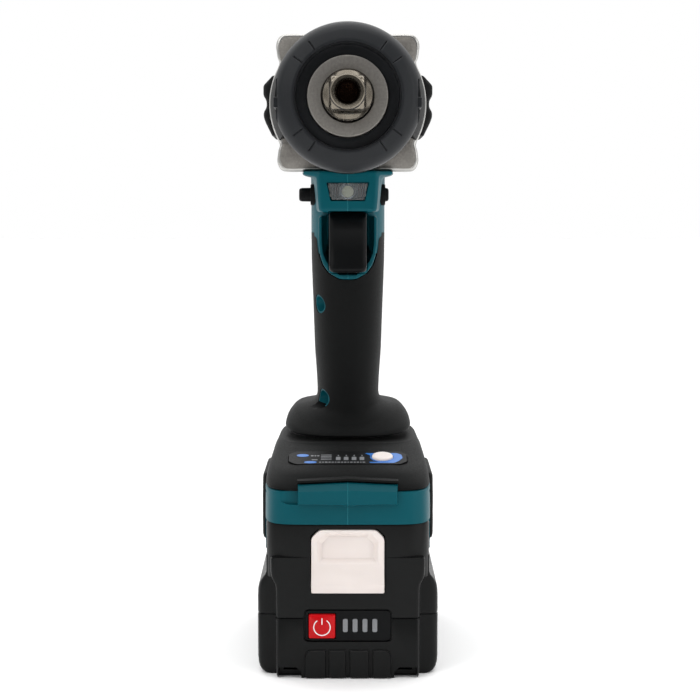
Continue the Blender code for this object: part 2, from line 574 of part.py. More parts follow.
def side_bumpers():
    for name, side in (("side_bumper_right", 1), ("side_bumper_left", -1)):
        rows = ((-25, 33.4), (-22, 34.6), (-19, 35.4), (-15, 36.2), (-3, 36.2), (0.5, 34.6), (4.5, 34.6),
                (7.5, 36.2), (15, 36.2), (19.5, 34.9), (24, 33.4))
        outline = []
        for z, x in rows:
            t = math.atan2(z, x)
            outline.append((side * max(x, 0.0) * 0.975 if abs(z) > 18 else side * x, HEAD_Z + z * 0.62))
        back = []
        for z, x in reversed(rows):
            zz = z * 0.62
            reach = 32.55
            t = math.asin(max(-1.0, min(1.0, zz / reach)))
            reach = oval_radius(t, 31.6, 31.2, 2.6) + GAP + 0.1
            back.append((side * math.sqrt(max(reach * reach - zz * zz, 0.0)), HEAD_Z + zz))
        rings = []
        for y, k in ((-6, 0.25), (-3.5, 0.9), (0, 1.0), (30, 1.0), (35, 0.85), (38, 0.25)):
            ring = [(b[0] + (o[0] - b[0]) * k, y, o[1]) for o, b in zip(outline, reversed(back))]
            ring += [(b[0], y, b[1]) for b in back]
            rings.append(ring)
        loft(name, rings, RUBBER)


def side_pads():
    for name, side in (("side_pad_right", 1), ("side_pad_left", -1)):
        rings = []
        for x, k in ((34.75, 0.0), (35.8, 0.2), (36.4, 2.0)):
            y0, y1, z0, z1, r = -24 + k, 26 - k, 50.6 + k, 78.6 - k, 4.0
            rings.append([(side * x, y, z) for y, z in
                          ((y0 + r, z0), (y1 - r, z0), (y1, z0 + r), (y1, z1 - r), (y1 - r, z1),
                           (y0 + r, z1), (y0, z1 - r), (y0, z0 + r))])
        loft(name, rings, RUBBER, smooth=None)


def panel_point(u, v, h):
    """Panel coordinates: u across, v down the slope towards the front, h along its outward normal."""
    y0, z0 = -27.6, 89.85
    return (u, y0 - v * math.cos(PANEL_TILT) - h * math.sin(PANEL_TILT),
            z0 - v * math.sin(PANEL_TILT) + h * math.cos(PANEL_TILT))


def panel_box(name, grow, low, high, mat=None, **kw):
    w, d, t = PANEL
    w, edge = w / 2 + grow, 3.0
    plan = [(-w, edge), (-w + edge, -grow), (w - edge, -grow), (w, edge), (w, d - edge), (w - edge, d + grow),
            (-w + edge, d + grow), (-w, d - edge)]
    rings = [[panel_point(u, v, h) for u, v in plan] for h in (low - t, high)]
    return loft(name, rings, mat or TOOL, smooth=None, **kw)


def electrics():
    panel = panel_box("control_panel", 0.0, 0.0, 0.15, BLACK)
    centre, r = (12.6, 7.8), 5.0

    def pill(name, grow, low, high, mat, **kw):
        rings = []
        for h in (low, high):
            rings.append([panel_point(centre[0] + (r + grow) * math.cos(t), centre[1] + (r + grow) * math.sin(t), h)
                          for t in [2 * math.pi * i / 16 for i in range(16)]])
        return loft(name, rings, mat, **kw)

    cut(panel, pill("mode_hole", 0.3, -4.0, 4.0, TOOL))
    pill("mode_button", 0.0, -0.9, 1.0, WHITE, origin=panel_point(*centre, 0))
    prism("led_lens", [(-8.4, 201.4), (8.4, 201.4), (6.7, 194.5), (-6.7, 194.5)], "XZ", -42.2, -40.0, CLEAR,
          smooth=None)
    led = box("led_board", (-8, 8), (-37.6, -36.2), (193, 202.6), BOARD)
    add(led, several("led_dome", [rod_data("Y", (0, 198.0), 2.4, -39.4, -37.0, 16)], TOOL))
    switch = box("switch_unit", (-8.8, 8.8), (-3.5, 16.5), (164.2, 188.5), BLACK)
    soften(switch, 1.0)
    module = box("controller", (-22, 22), (-44, 30), (67.0, 74.5), DARK)
    soften(module, 1.5)
    block = box("terminal_block", (-15, 15), (-8, 32), (58.4, 61.7), BLACK)
    blades = [box_data(s * 10.5 - 0.7, s * 10.5 + 0.7, -4, 9, 51, 59.5) for s in (1, -1)]
    add(block, several("terminal_blades", blades, TOOL, smooth=None))


def controls():
    side = [(-29.5, 189.7), (-32.6, 187.6), (-33.6, 184.0), (-33.0, 179.0), (-33.2, 174.0), (-35.0, 169.0),
            (-36.0, 166.2), (-34.6, 164.7), (-14.0, 164.7), (-14.0, 189.7)]
    rings = []
    for x, k in ((-7.8, 1.2), (-6.9, 0.3), (-4.6, 0.0), (4.6, 0.0), (6.9, 0.3), (7.8, 1.2)):
        rings.append([(x, y + (k if y < -20 else 0), z) for y, z in side])
    loft("trigger", rings, BLACK, origin=(0, -14, 177))
    coil("trigger_spring", "Y", (0, 177), 3.4, 0.45, -13.7, -3.8, 5, STEEL, per=8)
    lever = several("direction_lever", [rod_data("X", (LEVER_Y, LEVER_Z), LEVER_R, *LEVER_X, 20)], BLACK,
                    origin=(0, LEVER_Y, LEVER_Z))
    add(lever, box("lever_fork", (-5.8, -1.8), (LEVER_Y - 1.2, LEVER_Y + 9), (190.2, LEVER_Z), TOOL))


# ------------------------------------------------------------------ battery pack
def pack_plan(z, half, front_half, step_y, grow=0.0, back=PACK_L):
    """Plan outline: a narrower front block and wider side lobes set back behind it."""
    h, f = half + grow, front_half + grow
    front, rear = -PACK_L - grow, back + grow
    right = [(f - 1.5, front), (f, front + 1.5), (f, step_y - 1.0), (f + (h - f) * 0.5, step_y),
             (f + (h - f) * 0.86, step_y + 2.0), (h, step_y + 5.5), (h, rear - 10), (h - 2.6, rear - 3.4), (h - 9.0, rear)]
    return [(x, y, z) for x, y in right] + [(-x, y, z) for x, y in reversed(right)]


def battery():
    step = -48.5
    lower = loft("battery_lower", [pack_plan(z, h, f, step, 0.0, b) for z, h, f, b in (
        (0.0, 33.5, 28.6, 55.0), (1.6, 36.2, 29.2, 57.0), (6.0, 37.2, 29.2, PACK_L),
        (PACK_SEAM - 0.15, 37.2, 29.2, PACK_L))], BLACK, smooth=30)
    pads = [box_data(a, b, -59.0, -56.8, 0.5, 11.8) for a, b in
            ((-17.5, -9.0), (-7.7, -0.8), (0.8, 8.6), (10.2, 17.6))]
    add(lower, several("pack_feet", pads, TOOL, smooth=None))
    cut(lower, loft("lower_hollow", [hollow_plan(z, step) for z in (2.4, PACK_SEAM + 2)], TOOL, smooth=None),
        box("gauge_gate", (-19.3, 19.3), (-60, -54.0), (14.0, PACK_SEAM + 3), TOOL),
        several("foot_notches", [box_data(*sorted((s * 19.2, s * 28.2)), -60, -55.9, -1, 4.6) for s in (1, -1)],
                TOOL, smooth=None))

    upper = loft("battery_upper", [pack_plan(z, h, f, step, 0.0, b) for z, h, f, b in (
        (PACK_SEAM + 0.15, 37.2, 29.2, PACK_L), (33.5, 37.2, 29.2, PACK_L), (37.6, 36.4, 29.4, 57.0),
        (SHOULDER_Z, 34.9, 30.4, 56.0), (41.8, NECK_X, 31.0, 55.6), (PACK_TOP, NECK_X, 31.4, 55.4))],
                 BLACK, smooth=30)
    tongue = box("gauge_tongue", (-19.0, 19.0), (-PACK_L + 0.03, -54.6), (14.3, 30), TOOL)
    collar = loft("pack_neck", [[(x, y, z) for x, y in (
        (-30.6, -PACK_L + 0.02), (30.6, -PACK_L + 0.02), (NECK_X - 0.05, -54.0), (NECK_X - 0.05, NECK_BACK),
        (-NECK_X + 0.05, NECK_BACK), (-NECK_X + 0.05, -54.0))] for z in (42.0, NECK_TOP)], TOOL, smooth=None)
    rails = [box_data(-27.9, 27.9, -42.0, 48.0, 44.0, 56.0), box_data(-30.9, 30.9, -42.1, 48.1, 53.4, RAIL_TOP)]
    add(upper, tongue, collar, *[make("rail_block_" + str(k), *r, TOOL, smooth=None) for k, r in enumerate(rails)])
    cavities = [
        loft("upper_hollow", [hollow_plan(z, step) for z in (12.0, 36.4)], TOOL, smooth=None),
        box("cell_hollow", (-33.0, 33.0), (-44.4, 51.0), (30.2, 40.6), TOOL),
        box("upper_hollow_top", (-30.6, 30.6), (-49.0, 52.5), (30.0, 47.6), TOOL),
        box("rail_hollow", (-25.6, 25.6), (-38.8, 45.8), (46.0, 55.4), TOOL),
        box("button_bay", (-BUTTON_X - 0.4, BUTTON_X + 0.4), (-62, -49.9), (36.6, 62.0), TOOL),
        several("blade_slots", [box_data(s * 10.5 - 1.7, s * 10.5 + 1.7, -9, 52, 50.5, 60) for s in (1, -1)], TOOL,
                smooth=None),
        box("gauge_bay", (-17.9, 17.9), (-60, -56.5), (15.5, 28.5), TOOL),
        box("gauge_hole", (-16.2, -4.8), (-60, -50), (16.5, 27.1), TOOL),
    ]
    cut(upper, *cavities)

    for k, z in enumerate(CELL_Z):
        row = several(("cells_lower", "cells_upper")[k],
                      [rod_data("X", (CELL_PITCH * i + CELL_SHIFT, z), CELL_R, -CELL_L / 2, CELL_L / 2, 20)
                       for i in (-2, -1, 0, 1, 2)], CELLS)
        straps = [box_data(*sorted((s * 32.2, s * 32.8)), -38, 44, z - 3, z + 3) for s in (1, -1)]
        add(row, several("cell_straps_" + str(k), straps, TOOL, smooth=None))
    holder = box("cell_holder", (-31, 31), (-43.5, 49.0), (21.15, 21.85), HOLDER)
    soften(holder, 0.2)
    board = box("bms_board", (-24, 24), (-44, 40), (44.0, 45.5), BOARD)
    soften(board, 0.2)
    comb = box("battery_terminals", (-14, 14), (-6, 12), (45.8, 54.9), BRASS)
    cut(comb, several("comb_slots", [box_data(s * 10.5 - 1.2, s * 10.5 + 1.2, -8, 14, 50, 56) for s in (1, -1)],
                      TOOL, smooth=None))


def hollow_plan(z, step):
    right = [(26.4, -55.0), (26.4, step + 2.0), (34.8, step + 4.6), (34.8, 50.6), (31.0, 54.8)]
    return [(x, y, z) for x, y in right] + [(-x, y, z) for x, y in reversed(right)]


def pack_controls():
    z0, z1 = BUTTON_Z
    x = BUTTON_X
    plate = prism("release_button", [(-x, 42.0), (x, 42.0), (x, z1 - 3.2), (x - 3.2, z1), (-x + 3.2, z1),
                                     (-x, z1 - 3.2)], "XZ", -57.2, -54.4, WHITE, smooth=None,
                  origin=(0, -54, 50))
    lip = prism("button_lip", [(-60.6, z0), (-57.9, z0), (-57.9, 41.8), (-57.0, 42.2), (-56.6, 44.5), (-57.4, 46.5),
                               (-60.0, 41.6), (-61.9, 40.2), (-62.0, 37.6)], "YZ", -x + 0.02, x - 0.02, TOOL,
                smooth=None)
    arm = box("button_arm", (-9, 9), (-54.8, -50.4), (50.0, z1 - 0.6), TOOL)
    scoop = box("button_scoop", (-10.6, 10.6), (-59, -56.2), (48.6, 58.6), TOOL)
    cut(add(plate, lip, arm), scoop)
    coil("release_spring", "Z", (0, -52.0), 1.6, 0.3, 36.9, 49.8, 5, STEEL, per=8)
    box("gauge_panel", (-17.6, 17.6), (-57.4, -56.8), (15.8, 28.2), BLACK)
    cut(bpy.data.objects["gauge_panel"], box("gauge_panel_hole", (-16.2, -4.8), (-60, -50), (16.5, 27.1), TOOL))
    key = box("gauge_button", (-15.9, -5.1), (-58.3, -54.0), (16.8, 26.8), RED, origin=(-10.5, -56, 21.8))
    soften(key, 0.5)


anvil()
friction_ring()
hammer()
spindle()
gears()
motor()
nose()
housing()
rear_cover()
side_bumpers()
side_pads()
electrics()
controls()
battery()
pack_controls()
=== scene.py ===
"""Cordless impact wrench: finished surfaces built round its packed frame."""
import math

import bmesh
import bpy
import numpy as np
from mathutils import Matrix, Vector


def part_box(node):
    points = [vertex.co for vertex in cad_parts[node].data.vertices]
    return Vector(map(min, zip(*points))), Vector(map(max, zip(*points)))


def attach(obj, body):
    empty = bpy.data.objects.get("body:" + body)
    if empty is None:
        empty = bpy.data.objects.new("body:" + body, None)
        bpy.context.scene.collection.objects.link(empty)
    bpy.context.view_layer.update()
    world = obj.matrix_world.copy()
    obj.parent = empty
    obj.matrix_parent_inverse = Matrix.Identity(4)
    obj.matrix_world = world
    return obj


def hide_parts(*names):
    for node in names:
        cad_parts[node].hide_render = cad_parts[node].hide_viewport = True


bl_info = {
    "name": "Cordless impact wrench",
    "version": (1, 0, 0),
    "blender": (4, 5, 0),
    "location": "View3D > Sidebar > Wrench",
    "description": "Builds the shells, rubber, metal and pack of a cordless impact wrench",
    "category": "Add Mesh",
}

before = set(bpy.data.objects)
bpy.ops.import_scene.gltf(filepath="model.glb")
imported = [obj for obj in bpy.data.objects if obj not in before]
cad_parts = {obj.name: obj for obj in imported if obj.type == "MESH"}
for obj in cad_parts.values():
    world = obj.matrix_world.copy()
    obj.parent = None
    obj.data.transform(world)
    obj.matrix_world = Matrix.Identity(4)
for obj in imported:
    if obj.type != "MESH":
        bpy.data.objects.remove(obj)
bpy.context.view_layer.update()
MM = 0.001
TAU = 2 * math.pi

# all shape numbers below are millimetres in the frame's own axes
anvil_low, anvil_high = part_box("anvil")
HEAD_Z = (anvil_low.z + anvil_high.z) / 2 / MM      # height of the drive axis
TIP_Y = anvil_low.y / MM                            # front end of the drive
NOSE_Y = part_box("hammer_case")[0].y / MM            # front face of the hammer case
SEAM_Z = 25.0                                       # height of the pack's side seam
PACK_HALF, PACK_END = 37.2, 57.5                    # half width of the pack; its front and back
BLOCK_HALF, STEP_Y = 29.2, -50.5                    # half width of the pack's front block; where the lobes start
MODE_KEY = (14.4, 8.7)                              # centre of the mode key on the panel
LEVER = (-10, 197)                                  # axis of the direction lever
DIODE_Z = 198.0                                     # height of the lamp's diode


# ------------------------------------------------------------------ shape helpers
def loft(rings, closed=False):
    """Skin through rings with equal point counts; open ends are capped."""
    n = len(rings[0])
    verts = [tuple(p) for ring in rings for p in ring]
    faces = []
    for k in range(len(rings) if closed else len(rings) - 1):
        a, b = k * n, ((k + 1) % len(rings)) * n
        faces += [(a + i, a + (i + 1) % n, b + (i + 1) % n, b + i) for i in range(n)]
    if not closed:
        faces += [tuple(reversed(range(n))), tuple(range(len(verts) - n, len(verts)))]
    return verts, faces


def fillet(points, radius, steps=4, closed=True):
    """Rounds the corners of an outline; radius is one value or one per point."""
    count, out = len(points), []
    for i, p in enumerate(points):
        r = radius[i] if isinstance(radius, (list, tuple)) else radius
        if r <= 0 or (not closed and i in (0, count - 1)):
            out.append(tuple(p))
            continue
        v, a, b = Vector(p), Vector(points[i - 1]), Vector(points[(i + 1) % count])
        la, lb = (a - v).length, (b - v).length
        if min(la, lb) < 1e-6:
            out.append(tuple(p))
            continue
        cut = min(r, 0.48 * la, 0.48 * lb)
        p0, p2 = v + (a - v) * cut / la, v + (b - v) * cut / lb
        for k in range(steps + 1):
            t = k / steps
            out.append(tuple(p0 * (1 - t) ** 2 + v * 2 * t * (1 - t) + p2 * t ** 2))
    return out


def glide(rows, steps):
    """Monotone cubic through table rows, as functions of their first column."""
    table = np.array(rows, float)
    gap = np.diff(table[:, 0])
    slope = np.diff(table, axis=0) / gap[:, None]
    tangent = np.zeros_like(table)
    tangent[0], tangent[-1] = slope[0], slope[-1]
    for i in range(1, len(table) - 1):
        a, b = slope[i - 1], slope[i]
        same = a * b > 0
        tangent[i] = np.where(same, 2 * a * b / np.where(same, a + b, 1), 0)
    out = []
    for i in range(len(table) - 1):
        for k in range(steps):
            t = k / steps
            h = gap[i]
            out.append(table[i] * (2 * t ** 3 - 3 * t ** 2 + 1) + tangent[i] * h * (t ** 3 - 2 * t ** 2 + t)
                       + table[i + 1] * (3 * t ** 2 - 2 * t ** 3) + tangent[i + 1] * h * (t ** 3 - t ** 2))
    out.append(table[-1])
    return [tuple(r) for r in out]


def turned(profile, seg=96, cx=0.0, cz=None, closed=True, phase=0.0):
    """Turns a profile of (radius, y) about a Y axis."""
    cz = HEAD_Z if cz is None else cz
    return loft([[(u, y, v) for u, v in oval(cx, cz, r, r, seg, phase)] for r, y in profile], closed)


def squircle(angle, a, b, n):
    """Radius at an angle of a superellipse with half axes a and b."""
    return (abs(math.cos(angle) / a) ** n + abs(math.sin(angle) / b) ** n) ** (-1 / n)


def oval(u, v, a, b, count, start=0.0):
    """Points of an ellipse about (u, v)."""
    turns = [start + TAU * k / count for k in range(count)]
    return [(u + a * math.cos(t), v + b * math.sin(t)) for t in turns]


def both_sides(half):
    """Closes a half outline with its mirror image."""
    return half + [(-x, y) for x, y in reversed(half)]


def plan_ring(z, front, back, half, n=2.4, count=96):
    """Level superellipse; equal steps of its own angle keep points near the corners."""
    mid, deep, e = (front + back) / 2, (back - front) / 2, 2 / n
    ring = []
    for i in range(count):
        t = TAU * (i + 0.5) / count
        c, s = math.cos(t), math.sin(t)
        ring.append((half * math.copysign(abs(c) ** e, c), mid + deep * math.copysign(abs(s) ** e, s), z))
    return ring


def head_ring(y, a, b, n, count=128):
    """Superellipse across the drive axis."""
    ring = []
    for i in range(count):
        t = TAU * (i + 0.5) / count
        r = squircle(t, a, b, n)
        ring.append((r * math.cos(t), y, HEAD_Z + r * math.sin(t)))
    return ring


def prism(outline, plane, a, b, edge=0.0):
    """Extrudes an outline; edge insets the far ends for a soft rim."""
    put = {"XZ": lambda u, v, t: (u, t, v), "YZ": lambda u, v, t: (t, u, v), "XY": lambda u, v, t: (u, v, t)}[plane]
    cu = sum(p[0] for p in outline) / len(outline)
    cv = sum(p[1] for p in outline) / len(outline)
    stations = [(a, 1.0), (b, 1.0)]
    if edge:
        small = 1 - edge / max(math.hypot(p[0] - cu, p[1] - cv) for p in outline)
        inward = math.copysign(edge, b - a)
        stations = [(a, small), (a + inward, 1.0), (b - inward, 1.0), (b, small)]
    return loft([[put(cu + (u - cu) * k, cv + (v - cv) * k, t) for u, v in outline] for t, k in stations])


def block(x0, x1, y0, y1, z0, z1):
    return loft([[(x0, y0, z), (x1, y0, z), (x1, y1, z), (x0, y1, z)] for z in (z0, z1)])


def side_block(side, x0, x1, *rest):
    """A block on the side that side (1 or -1) points to."""
    return block(*sorted((side * x0, side * x1)), *rest)


def rod(axis, centre, r, a, b, seg=40):
    """Round bar along an axis from a to b."""
    put = {"X": lambda u, v, t: (t, u, v), "Y": lambda u, v, t: (u, t, v), "Z": lambda u, v, t: (u, v, t)}[axis]
    return loft([[put(u, v, t) for u, v in oval(*centre, r, r, seg, TAU * 0.35 / seg)] for t in (a, b)])


def gather(*parts):
    """Several closed forms as one."""
    verts, faces = [], []
    for v, f in parts:
        faces += [tuple(i + len(verts) for i in face) for face in f]
        verts += v
    return verts, faces


def shade(obj, angle=38.0):
    """Smooth faces, with edges sharper than the angle kept crisp."""
    mesh = obj.data
    mesh.polygons.foreach_set("use_smooth", [True] * len(mesh.polygons))
    mesh.set_sharp_from_angle(angle=math.radians(angle))
    return obj


def solid(name, data, finish=None, angle=38.0):
    """A mesh object from millimetre points, its faces turned outwards."""
    mesh = bpy.data.meshes.new(name)
    mesh.from_pydata([tuple(c * MM for c in v) for v in data[0]], [], data[1])
    bm = bmesh.new()
    bm.from_mesh(mesh)
    bmesh.ops.recalc_face_normals(bm, faces=bm.faces)
    bm.to_mesh(mesh)
    bm.free()
    obj = bpy.data.objects.new(name, mesh)
    bpy.context.scene.collection.objects.link(obj)
    if finish:
        mesh.materials.append(finish)
    return shade(obj, angle)


def settle(obj, angle=38.0):
    """Turns the live modifiers into the piece's own mesh."""
    bpy.context.view_layer.update()
    done = bpy.data.meshes.new_from_object(obj.evaluated_get(bpy.context.evaluated_depsgraph_get()))
    old, mats = obj.data, list(obj.data.materials)
    obj.modifiers.clear()
    obj.data = done
    done.materials.clear()
    for mat in mats:
        done.materials.append(mat)
    done.polygons.foreach_set("material_index", [0] * len(done.polygons))
    bpy.data.meshes.remove(old)
    return shade(obj, angle)


def carve(obj, *tools, how="DIFFERENCE", angle=38.0):
    """Cuts the tools out of a piece, or adds them to it."""
    made = []
    for k, data in enumerate(tools):
        tool = solid("tool_" + str(k), data)
        mod = obj.modifiers.new("cut", "BOOLEAN")
        mod.operation, mod.solver, mod.object = how, "EXACT", tool
        made.append(tool)
    settle(obj, angle)
    for tool in made:
        bpy.data.objects.remove(tool)
    return obj


def ease(obj, width, segments=2, angle=35.0):
    """Soft moulded edges."""
    mod = obj.modifiers.new("edges", "BEVEL")
    mod.width, mod.segments, mod.limit_method = width * MM, segments, "ANGLE"
    mod.angle_limit = math.radians(angle)
    mod.miter_outer = "MITER_ARC"
    mod.use_clamp_overlap = True
    mod.harden_normals = True
    obj.data.polygons.foreach_set("use_smooth", [True] * len(obj.data.polygons))
    return obj


def moulded(name, parts, cell, rounds, finish):
    """Melts overlapping closed forms into one skin with small radii where they meet."""
    obj = solid(name, gather(*parts), finish)
    mod = obj.modifiers.new("melt", "REMESH")
    mod.mode, mod.voxel_size = "VOXEL", cell * MM
    soft = obj.modifiers.new("soften", "SMOOTH")
    soft.factor, soft.iterations = 0.5, rounds
    return settle(obj)


def piece(obj, body, slot_name, *nodes):
    """Ties a piece to its body, its material slot and the CAD nodes it stands for."""
    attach(obj, body)
    if nodes:
        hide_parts(*nodes)
    return obj


def make(name, data, key, body, slot_name, *nodes, angle=38.0, soft=None):
    """A piece that needs no carving; soft holds the values of ease."""
    obj = solid(name, data, FINISH[key], angle)
    if soft:
        ease(obj, *soft)
    return piece(obj, body, slot_name, *nodes)


# ------------------------------------------------------------------ finishes
def linear(code):
    """sRGB hex to linear RGBA."""
    out = []
    for k in (1, 3, 5):
        c = int(code[k:k + 2], 16) / 255
        out.append(c / 12.92 if c <= 0.04045 else ((c + 0.055) / 1.055) ** 2.4)
    return (*out, 1.0)


def add(tree, kind, settings=None, sockets=None):
    """Adds a node, sets its properties, then its sockets to values or links."""
    node = tree.nodes.new(kind)
    for key, value in (settings or {}).items():
        setattr(node, key, value)
    for key, value in (sockets or {}).items():
        if isinstance(value, bpy.types.NodeSocket):
            tree.links.new(value, node.inputs[key])
        else:
            node.inputs[key].default_value = value
    return node


def finish_base(name, shader):
    """A material with one Principled shader; returns it with its tree, shader and object coordinates."""
    mat = bpy.data.materials.new(name)
    mat.use_nodes = True
    tree = mat.node_tree
    tree.nodes.clear()
    bsdf = add(tree, "ShaderNodeBsdfPrincipled", None, shader)
    add(tree, "ShaderNodeOutputMaterial", None, {"Surface": bsdf.outputs[0]})
    coords = add(tree, "ShaderNodeTexCoord").outputs["Object"]
    return mat, tree, bsdf, coords


def two_tone(tree, bsdf, coords, tones, patch_mm):
    """Slow drift between two near colours, as pigment and handling give."""
    noise = add(tree, "ShaderNodeTexNoise", None, {"Vector": coords, "Scale": 1000 / patch_mm, "Detail": 2.0})
    mix = add(tree, "ShaderNodeMix", {"data_type": "RGBA"}, {"Factor": noise.outputs["Fac"]})
    for socket, colour in zip((6, 7), tones):
        mix.inputs[socket].default_value = linear(colour) if isinstance(colour, str) else tuple(colour)
    tree.links.new(mix.outputs[2], bsdf.inputs["Base Color"])
    return mix.outputs[2]


def grain(tree, bsdf, coords, size_mm, depth_mm, rough, rough_swing, strength=0.6, detail=2.0):
    """Fine pits of a given spacing, in the bump and the roughness."""
    noise = add(tree, "ShaderNodeTexNoise", None, {"Vector": coords, "Scale": 1000 / size_mm, "Detail": detail,
                                                  "Roughness": 0.6})
    bump = add(tree, "ShaderNodeBump", None, {"Height": noise.outputs["Fac"], "Strength": strength,
                                              "Distance": depth_mm * MM})
    tree.links.new(bump.outputs[0], bsdf.inputs["Normal"])
    span = add(tree, "ShaderNodeMapRange", None, {"Value": noise.outputs["Fac"], "From Min": 0.3, "From Max": 0.7,
                                                  "To Min": rough - rough_swing, "To Max": rough + rough_swing})
    tree.links.new(span.outputs[0], bsdf.inputs["Roughness"])
    return bump


def parting_line_painted_highlight(tree, bsdf, coords, colour, bump):
    """The fine joint of two mould halves at the centre plane: a paler rubbed hairline with a dip."""
    x = add(tree, "ShaderNodeSeparateXYZ", None, {"Vector": coords}).outputs["X"]
    near = add(tree, "ShaderNodeMath", {"operation": "ABSOLUTE"}, {0: x}).outputs[0]
    line = add(tree, "ShaderNodeMapRange", None, {"Value": near, "From Min": 0.00006, "From Max": 0.00022,
                                                  "To Min": 1.0, "To Max": 0.0}).outputs[0]
    # painted highlight: the hairline is tinted a paler teal, as if light caught the seam
    painted_highlight_mix = add(tree, "ShaderNodeMix", {"data_type": "RGBA", "blend_type": "MIX"},
               {"Factor": line, 6: colour, 7: linear("#1f6e78")})
    tree.links.new(painted_highlight_mix.outputs[2], bsdf.inputs["Base Color"])
    dip = add(tree, "ShaderNodeBump", {"invert": True}, {"Height": line, "Strength": 0.8, "Distance": 0.0002,
                                                        "Normal": bump.outputs[0]})
    tree.links.new(dip.outputs[0], bsdf.inputs["Normal"])


def socket_painted_shade(tree, bsdf, coords, colour):
    """Brown-black scale from hardening, inside a radius of 4.4 mm about the drive axis."""
    off_axis = add(tree, "ShaderNodeVectorMath", {"operation": "MULTIPLY_ADD"},
                   {0: coords, 1: (1, 0, 1), 2: (0, 0, -HEAD_Z * MM)})
    far = add(tree, "ShaderNodeVectorMath", {"operation": "LENGTH"}, {0: off_axis.outputs[0]}).outputs["Value"]
    painted_shade_mask = add(tree, "ShaderNodeMapRange", None, {"Value": far, "From Min": 0.0042, "From Max": 0.0046,
                                                   "To Min": 1.0, "To Max": 0.0}).outputs[0]
    # painted shade: the socket's walls are coloured brown-black
    mix = add(tree, "ShaderNodeMix", {"data_type": "RGBA"}, {"Factor": painted_shade_mask, 6: colour, 7: linear("#2a1c14")})
    tree.links.new(mix.outputs[2], bsdf.inputs["Base Color"])


def finish(key, name, shader, tones, patch_mm, skin):
    """Makes one finish: two tones drifting over patch_mm, and skin, the values of grain."""
    mat, tree, bsdf, coords = finish_base(name, shader)
    colour = two_tone(tree, bsdf, coords, tones, patch_mm) if tones else None
    bump = grain(tree, bsdf, coords, *skin)
    FINISH[key] = mat
    return tree, bsdf, coords, colour, bump


FINISH = {}


